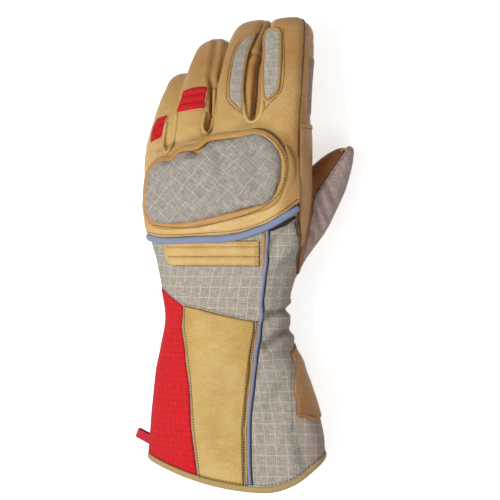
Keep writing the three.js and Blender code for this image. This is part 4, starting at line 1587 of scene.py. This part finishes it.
move_verts({vert: vert.co - vert.normal * dent_depth(read_seen(vert.co)) for vert in pad.verts})
layer = pad.loops.layers.uv.new(PATTERN)
for face in pad.faces:
    for loop in face.loops:
        across, along = read_seen(loop.vert.co)
        across += 1.2 * noise.noise(loop.vert.co / 14)
        along += 1.2 * noise.noise(loop.vert.co / 14 + Vector((9, 4, 2)))
        loop[layer].uv = turned_pattern(across, along, GUARD_GRAIN)
pad.verts.layers.float.new("seam_and_shade")
guard = finish_piece("guard_pad", pad, guard_check, ("knuckle_guard",))

# %% [markdown]
# A strip of leather rolled over the pad's edge holds it down, with a stitched seam outside it
# and a second, softer swell of hide below and beside it. The softer one sinks away at its ends.

# %% Roll round the guard
roll("guard_roll", seen_spots(RIM, 1.4, True), 5.6, 1.7, 2.7, rolled_hide, ("guard_rim",), "tan_leather",
     closed=True, sides=14)
RIM_MIDDLE = (-10, 236)
outer_rim = [(a + (a - RIM_MIDDLE[0]) * 0.045, b + (b - RIM_MIDDLE[1]) * 0.08) for a, b in RIM]
roll("guard_seam", seen_spots(outer_rim[3:-2], 1.4), 1.0, 0.8, 1.6, dark_seam, sides=8, taper=2)
SOFT_ROLL = [(-57, 201), (-30, 198.3), (-2, 202.5), (20, 208), (37, 217), (45, 232), (46.4, 246), (43, 261)]
# The soft roll gets the same painted shade towards the thumb side.
roll("soft_roll", seen_spots(SOFT_ROLL), 8.0, 1.9, 1.3, tan_hide, sides=14, taper=34, shade_at=shaded_side)

# %% [markdown]
# The backs of the fingers carry thin padded patches: grey ones in a leather edge, and red ones
# quilted in ribs. They are only a millimetre thick, so their swell and ribs are a height over
# the hide, which keeps the ribs sharper than a simulation of such a thin pad would.

# %% Patches on the fingers
def padded_patch(name, node, outline, height, material, grain=0.0, ribs=None):
    def rib_wave(across, along):
        turn, size, start = ribs
        return abs(math.sin(math.pi * (along * math.cos(turn) + across * math.sin(turn) - start) / size))

    # Painted shade down in the valleys between the quilted ribs.
    def valley_shade(across, along):
        return 0.75 * max(0.0, 1 - rib_wave(across, along) / 0.4)

    def height_at(across, along, away):
        lift = round_over(away, height, 3.2)
        if ribs:
            lift += 2.0 * (rib_wave(across, along) ** 0.6 - 0.6) * min(1, away / 1.6)
        return lift + 0.12 * noise.noise(Vector((across, along, 0)) / 5) + 0.5

    piece = panel(name, rounded(outline), lay_seen, 0.8, height_at, material, (node,), grain=grain,
                  dark_at=valley_shade if ribs else None)


INDEX_PATCH = [(31.5, 349.6), (38.6, 348.8), (40, 342), (39.8, 325), (38.6, 308), (37, 301.5), (33.4, 298),
               (28.9, 296), (27.4, 304), (27.2, 318), (28, 330), (28.2, 343)]
MIDDLE_PATCH = [(20.8, 348.6), (16.5, 347.8), (11.6, 345), (8.2, 340), (5.2, 332.5), (2.8, 320.5), (1.4, 308),
                (1.6, 298.5), (5.2, 293.5), (10.4, 288.8), (11.8, 294), (11.6, 308), (13.6, 325), (15.8, 335)]
RING_PATCH = [(-34.8, 307), (-31, 308.4), (-24, 309.6), (-16, 308.9), (-17, 301), (-18.4, 292.4), (-28, 291),
              (-39, 289.8), (-39, 294.4), (-36.4, 301)]
LITTLE_PATCH = [(-56, 286.8), (-52, 288.4), (-47.4, 288.6), (-49.6, 281), (-51.6, 272), (-56, 269.4),
                (-60.6, 267.4), (-60.4, 275), (-58.8, 281)]
padded_patch("index_pad", "index_patch", INDEX_PATCH, 1.2, finger_check, 0.03)
padded_patch("middle_pad", "middle_patch", MIDDLE_PATCH, 1.2, finger_check, 0.12)
padded_patch("ring_quilt", "ring_patch", RING_PATCH, 1.0, red_check, 0.1,
             (math.radians(-5), 5.9, 292.2))
padded_patch("little_quilt", "little_patch", LITTLE_PATCH, 1.0, red_check, 0.3,
             (math.radians(-40), 5.4, 249.0))
for name, line in (("index_pad_edge", INDEX_PATCH), ("middle_pad_edge", MIDDLE_PATCH)):
    roll(name, seen_spots(line, 1.2, True), 1.8, 1.5, 0.5, rolled_hide, closed=True)
for name, line in (("ring_edge_left", RING_PATCH[-1:] + RING_PATCH[:1]), ("ring_edge_right", RING_PATCH[3:6]),
                   ("ring_edge_low", RING_PATCH[5:8]), ("little_edge", LITTLE_PATCH[2:7])):
    roll(name, seen_spots(line, 1.2), 1.2, 1.1, 0.3, pale_edge, taper=1)

# %% [markdown]
# A strip of leather runs down the thumb side of the index finger and the hand, with a ribbed
# grip on the finger and a band across it. It lies round the side, so it is laid by rays from
# further round than the viewer, after its seen corners are read from there.

# %% Strip beside the index finger
def as_seen_from_edge(line):
    return [read_edge(lay_seen(a, b)) for a, b in line]


STRIP_LEFT = [(57.4, 345), (57.2, 335), (55.7, 314), (53.9, 290), (52.8, 275), (52.4, 240), (52.4, 214),
              (53.6, 190), (54.6, 176)]
STRIP_RIGHT = [(58, 182), (61.5, 200), (63.4, 214), (63, 226), (61.8, 240)]
strip_left = as_seen_from_edge(STRIP_LEFT)
strip_right = as_seen_from_edge(STRIP_RIGHT)
STRIP_WIDE = 17
strip_top = beside(strip_left[1:5], STRIP_WIDE, 0)[::-1]
strip_line = strip_left + strip_right + strip_top + [(strip_left[0][0] + 9, 348)]


def strip_height(across, along, away):
    fade = clamped((352 - along) / 26)
    return round_over(away, 1.7 * fade, 2.6) + 0.1 - 0.5 * (1 - fade)


# The strip's hide is darker: painted shade.
panel("finger_strip", strip_line, lay_edge, 1.1, strip_height, strip_shaded_hide, ("side_strip",),
      seam_width=1.4, seam_depth=0.8)
GRIP_RIB, GRIP_WIDE = 1.9, 9.5
GRIP_LOW, GRIP_HIGH = 285, 328
grip_left = as_seen_from_edge([(59.4, GRIP_HIGH), (58.6, 306), (57.6, GRIP_LOW)])
grip_line = grip_left + beside(grip_left, GRIP_WIDE, 0)[::-1]


def grip_height(across, along, away):
    return round_over(away, 0.9, 1.6) + 1.5 + 0.14 * math.sin(2 * math.pi * along / GRIP_RIB) * min(1, away)


panel("grip_tape", grip_line, lay_edge, 0.55, grip_height, grip_cloth, ("grip_strip",))
band_left = as_seen_from_edge([(53.6, 277.4), (53.2, 273.2)])
band_line = band_left + beside(band_left, STRIP_WIDE, 0)[::-1]
panel("strip_band", band_line, lay_edge, 0.9, lambda across, along, away: round_over(away, 1.0, 1.2) + 1.7,
      rolled_hide)

# %% [markdown]
# The thumb's outer side is fabric, from its seam with the thumb's leather down to the wrist. It
# is a copy of the form, cut by planes through the seams, so it keeps the form's roundness. Four
# soft folds are pressed in, and at the wrist it is tucked in under the cuff's surface.

# %% Fabric on the thumb's outer side
HAND_SEAM = ((50.5, 160), (65.4, 224.6))
GUSSET_LOW_Y, GUSSET_LOW_Z = 155, 14


def side_of_view(start, end):
    """The plane through two seen spots and the viewer's line of sight, facing the thumb side."""
    first = ACROSS_VIEW * start[0] + Vector((0, start[1], VIEW_HEIGHT))
    second = ACROSS_VIEW * end[0] + Vector((0, end[1], VIEW_HEIGHT))
    normal = (second - first).cross(TO_VIEWER).normalized()
    return first, normal if normal.x > 0 else -normal


gusset = form.copy()
cuts = [side_of_view(*THUMB_SEAM), side_of_view(*HAND_SEAM),
        (Vector((0, GUSSET_LOW_Y, 0)), Vector((0, 1, 0))), (Vector((0, 0, GUSSET_LOW_Z)), Vector((0, 0, 1)))]
for place, normal in cuts:
    cut(gusset, place, normal, clear=True)
edge_spots = [vert.co.copy() for vert in gusset.verts if vert.is_boundary]
edge_tree = kdtree.KDTree(len(edge_spots))
for index, spot in enumerate(edge_spots):
    edge_tree.insert(spot, index)
edge_tree.balance()
gusset.normal_update()
THUMB_FOLDS = [((66.5, 223), (76, 207)), ((64, 213), (70, 199)), ((73, 233), (81, 219)),
               ((62, 196), (65, 188))]
THUMB_FOLD_END = [(176, 59), (196, 73), (212, 79), (240, 88)]
layer = gusset.loops.layers.uv.new(PATTERN)
seam_and_shade = gusset.verts.layers.float.new("seam_and_shade")


def fold_depth(seen):
    """How deep the thumb's fabric is pressed in at a seen place, and how much painted shade it has there."""
    depth, shade = 0.0, 0.0
    shown = clamped((interpolate(THUMB_FOLD_END, seen[1]) - seen[0]) / 5)
    for start, end in THUMB_FOLDS:
        gap = away_from(seen, start, end)
        depth += shown * (1.6 * math.exp(-(gap / 2.2) ** 2) - 0.8 * math.exp(-((gap - 4) / 2.4) ** 2))
        shade = max(shade, 0.28 * shown * math.exp(-(gap / 1.6) ** 2))
    return depth, shade


def thumb_cloth_spot(vert):
    away = edge_tree.find(vert.co)[2]
    depth, shade = fold_depth(read_seen(vert.co))
    lift = 0.7 + round_over(away, 0.9, 2.5) + soft_hollows(vert.co, 17, 0.35) - depth
    in_cuff = clamped((204 - vert.co.y) / 22)
    lift += (cuff_fold(vert.co) - 0.9 - lift) * in_cuff
    # Painted shade in the folds, and a darker edge by the seam: wear and painted shade.
    vert[seam_and_shade] = max(shade, 0.7 * (1 - in_cuff) * max(0.0, 1 - away / 1.2) ** 2)
    spot = vert.co + vert.normal * lift
    tucked_in = clamped((182 - spot.y) / 18) * clamped((34 - spot.z) / 12)
    return spot.lerp(sleeve_tree.find_nearest(spot)[0], tucked_in)


for face in gusset.faces:
    for loop in face.loops:
        spot = loop.vert.co
        loop[layer].uv = ((spot.z * 0.75 - spot.x * 0.5) / 1000, spot.y / 1000)
move_verts({vert: thumb_cloth_spot(vert) for vert in gusset.verts})
thicken(finish_piece("thumb_cloth", gusset, thumb_check, ("thumb_gusset",)), 1.6)

# %% [markdown]
# Between that fabric and the strip lies a narrow wedge of leather whose dark brown is painted shade,
# and a dark seam runs beside it. The thumb's tip ends in a short pale seam.

# %% Leather between the strip and the thumb's fabric
cuff_roll("edge_seam", [(52, 206), (52.4, 190), (51.6, 176), (50.4, 169)], 1.3, 0.8, 0.0, dark_seam, taper=6)
EDGE_LEATHER = [(51, 166), (52.4, 166), (57, 180), (61, 196), (65.6, 224), (61, 226), (56, 196), (52.6, 180)]
panel("edge_leather", as_seen_from_edge(EDGE_LEATHER), lay_edge, 1.2,
      lambda across, along, away: round_over(away, 0.8, 1.5) + 1.1, shade_brown_hide, seam_width=1.4)
roll("thumb_tip_seam", seen_spots([(85, 257.5), (88, 259.6), (91, 257.4)], 0.8), 1.4, 0.9, 1.2, pale_edge,
     taper=1.5)

# %% [markdown]
# In the crotches the walls of the fingers meet the back of the hand in a raised seam, which is a
# roll bent into a U. Finer dark seams run along the fingers' edges, half sunk in the hide.

# %% Raised seams at the crotches and along the fingers
CROTCH_WELTS = [
    [(11.6, 296), (12.6, 287), (14.8, 281.4), (18.4, 279), (22.8, 281.2), (25.6, 287), (27, 295)],
    [(-10.6, 309), (-11, 297), (-11.8, 285), (-13.2, 276.6), (-16.4, 272.8), (-19.3, 276.6), (-19, 283),
     (-17.2, 290)],
    [(-39.5, 289.6), (-40.7, 277.4), (-42, 266), (-46, 258.2), (-49.8, 263), (-50, 272), (-48, 284)],
]
for name, line in zip(("crotch_seam_a", "crotch_seam_b", "crotch_seam_c"), CROTCH_WELTS):
    roll(name, seen_spots(line, 1.2), 3.0, 1.7, 0.2, tan_hide, taper=4)
for name, line in SEAM_LINES.items():
    spots = seen_spots(line)
    roll(name, [spot - out * 0.4 for spot, out in zip(spots, smooth_out(spots))], 0.9, 0.45, 0.0, dark_seam,
         taper=4, sides=8)

# %% [markdown]
# The loop at the hem is a short red tape, doubled and sewn in at both ends. A flat strip is bent
# back on itself, with a wall for the tape's thickness.

# %% Hanging loop
LOOP_LONG, LOOP_WIDE, LOOP_HALF = 12.5, 7, 1.6
loop_turn = math.radians(157)
loop_ahead = Vector((math.cos(loop_turn), math.sin(loop_turn), 0))
loop_side = Vector((-math.sin(loop_turn), math.cos(loop_turn), 0))
LOOP_START = Vector((-72, 34, 36))


def loop_place(along, across):
    bend = math.pi * LOOP_HALF
    path = along * (2 * LOOP_LONG + bend)
    if path < LOOP_LONG:
        ahead, up = path, -LOOP_HALF
    elif path < LOOP_LONG + bend:
        angle = (path - LOOP_LONG) / LOOP_HALF - math.pi / 2
        ahead, up = LOOP_LONG + LOOP_HALF * math.cos(angle), LOOP_HALF * math.sin(angle)
    else:
        ahead, up = 2 * LOOP_LONG + bend - path, LOOP_HALF
    return LOOP_START + loop_ahead * ahead + loop_side * (across - 0.5) * LOOP_WIDE + Vector((0, 0, up))


tape_loop = mapped_grid(40, 6, loop_place, pattern_at=lambda a, b: (a * 0.03, b * 0.007))
thicken(finish_piece("tape_loop", tape_loop, red_tape, ("hanging_loop",)), 0.9)

# %% [markdown]
# The thread is laid last, by rays onto everything that is there by now, so that it follows the
# pads and rolls. Leather is sewn with dark brown thread and the fabric with grey.

# %% Stitching
top_tree = BVHTree.FromPolygons(laid_spots, laid_faces)
lay_top, _ = looking_from(VIEW_TURN, top_tree)


def top_stitch_line(line):
    spots = [lay_top(*spot.xy) for spot in smooth_line(line, 1.2)]
    return spots, smooth_out(spots)


GUARD_SEWING = [(-57.8, 203), (-42, 201), (-25, 200.8), (-4.6, 204.8), (12.9, 209.6), (26.6, 215.6),
                (37.2, 224.2), (42.4, 237), (42.6, 249), (37.5, 260), (28.6, 268.6)]
INDEX_SEWING = [(41.8, 350), (42.2, 330), (41.8, 311), (39.6, 301.4), (34.7, 296), (27.6, 288.6)]
MIDDLE_SEWING = [(18.6, 350.6), (11.6, 347), (6.4, 341), (3, 332.5), (0.6, 320.5), (-0.9, 308), (-0.8, 298),
                 (3.6, 291.8), (11, 286)]
leather_lines = [GUARD_SEWING, beside(FLAP_EDGE[1:], 0, 1.9), INDEX_SEWING, MIDDLE_SEWING,
                 [(RIB_LEFT + 2, RIB_LINES[1]), (RIB_RIGHT, RIB_LINES[1])],
                 [(RIB_LEFT + 4, RIB_LINES[2]), (RIB_RIGHT, RIB_LINES[2])],
                 [(RIB_LEFT + 9, RIB_LINES[3] - 0.2), (RIB_RIGHT, RIB_LINES[3] - 0.2)],
                 [(RIB_RIGHT - 0.4, 190), (RIB_RIGHT - 0.4, 172.4)],
                 beside(RED_EDGE, 1.4, 0), beside(LEATHER_EDGE, -1.1, 0), beside(LEATHER_EDGE, 0.9, 0)]
LEATHER_STITCH = (2.1, 1.7, 0.68)
stitches("leather_sewing", [top_stitch_line(line) for line in leather_lines], 0.16, dark_thread,
         *LEATHER_STITCH)
fabric_lines = [beside([RED_TOP[2], RED_TOP[1], *LEATHER_TOP[:4]], 0, 1.1), beside(THUMB_SEAM, 1.2, -1.2),
                [(48.4, 108), (47.6, 80), (48.2, 48)], [(51.4, 104), (51.6, 82), (51.8, 60)]]
FABRIC_STITCH = (2.1, 1.7, 0.58)
stitches("fabric_sewing", [top_stitch_line(line) for line in fabric_lines], 0.14, grey_thread, *FABRIC_STITCH)
HEM_SEWING_HIGH = BINDING_HIGH + 1.4


def hem_sewing():
    spots, outs = [], []
    for step in range(721):
        turn = step / 2
        out = cuff_out(turn, HEM_SEWING_HIGH)
        start = cuff_spot(turn, HEM_SEWING_HIGH) + out * 6
        hit = top_tree.ray_cast(start, -out)
        spots.append(hit[0] if hit[0] is not None else start - out * 6)
        outs.append(out)
    return spots, outs


HEM_STITCH = (2.8, 2.1, 0.6)
stitches("hem_thread", [hem_sewing()], 0.12, dark_thread, *HEM_STITCH)

# %% [markdown]
# The glove lies on a plain pale floor. The brighter of two broad soft lights stands to the left
# and high up, the weaker one low on the right, and a pale surround fills the shadows. The floor
# glows a little, so that it looks almost white as in the photograph, and it throws no light of
# its colour back on the glove.

# %% Floor and light
floor_bm = bmesh.new()
bmesh.ops.create_grid(floor_bm, x_segments=1, y_segments=1, size=3)
floor_mesh = new_mesh("floor", floor_bm)
floor = link_object("floor", floor_mesh)
floor_paint, _, floor_surface = start_material("floor_paint", 0.9, 0.1)
floor_surface.inputs["Base Color"].default_value = (0.86, 0.86, 0.86, 1)
floor_surface.inputs["Emission Color"].default_value = (1, 1, 1, 1)
floor_surface.inputs["Emission Strength"].default_value = 0.62
floor_mesh.materials.append(floor_paint)
floor.visible_diffuse = False
LIGHTS = [
    # name, place in metres, watts, size in metres
    ("soft_key", (-0.4, -0.06, 1.05), 10.8, 0.5),
    ("side_fill", (0.75, -0.45, 0.8), 3.5, 0.7),
]
for name, place, watts, size in LIGHTS:
    light = bpy.data.lights.new(name, "AREA")
    light.energy = watts
    light.size = size
    lamp = link_object(name, light)
    lamp.location = place
    lamp.rotation_euler = (Vector(place) * -1).to_track_quat("-Z", "Y").to_euler()
surround = bpy.data.worlds.new("surround")
surround.use_nodes = True
surround.node_tree.nodes["Background"].inputs["Color"].default_value = (1, 1, 1, 1)
surround.node_tree.nodes["Background"].inputs["Strength"].default_value = 0.34
bpy.context.scene.world = surround
bpy.context.scene.view_settings.view_transform = "Standard"
print("lights", [name for name, place, watts, size in LIGHTS])
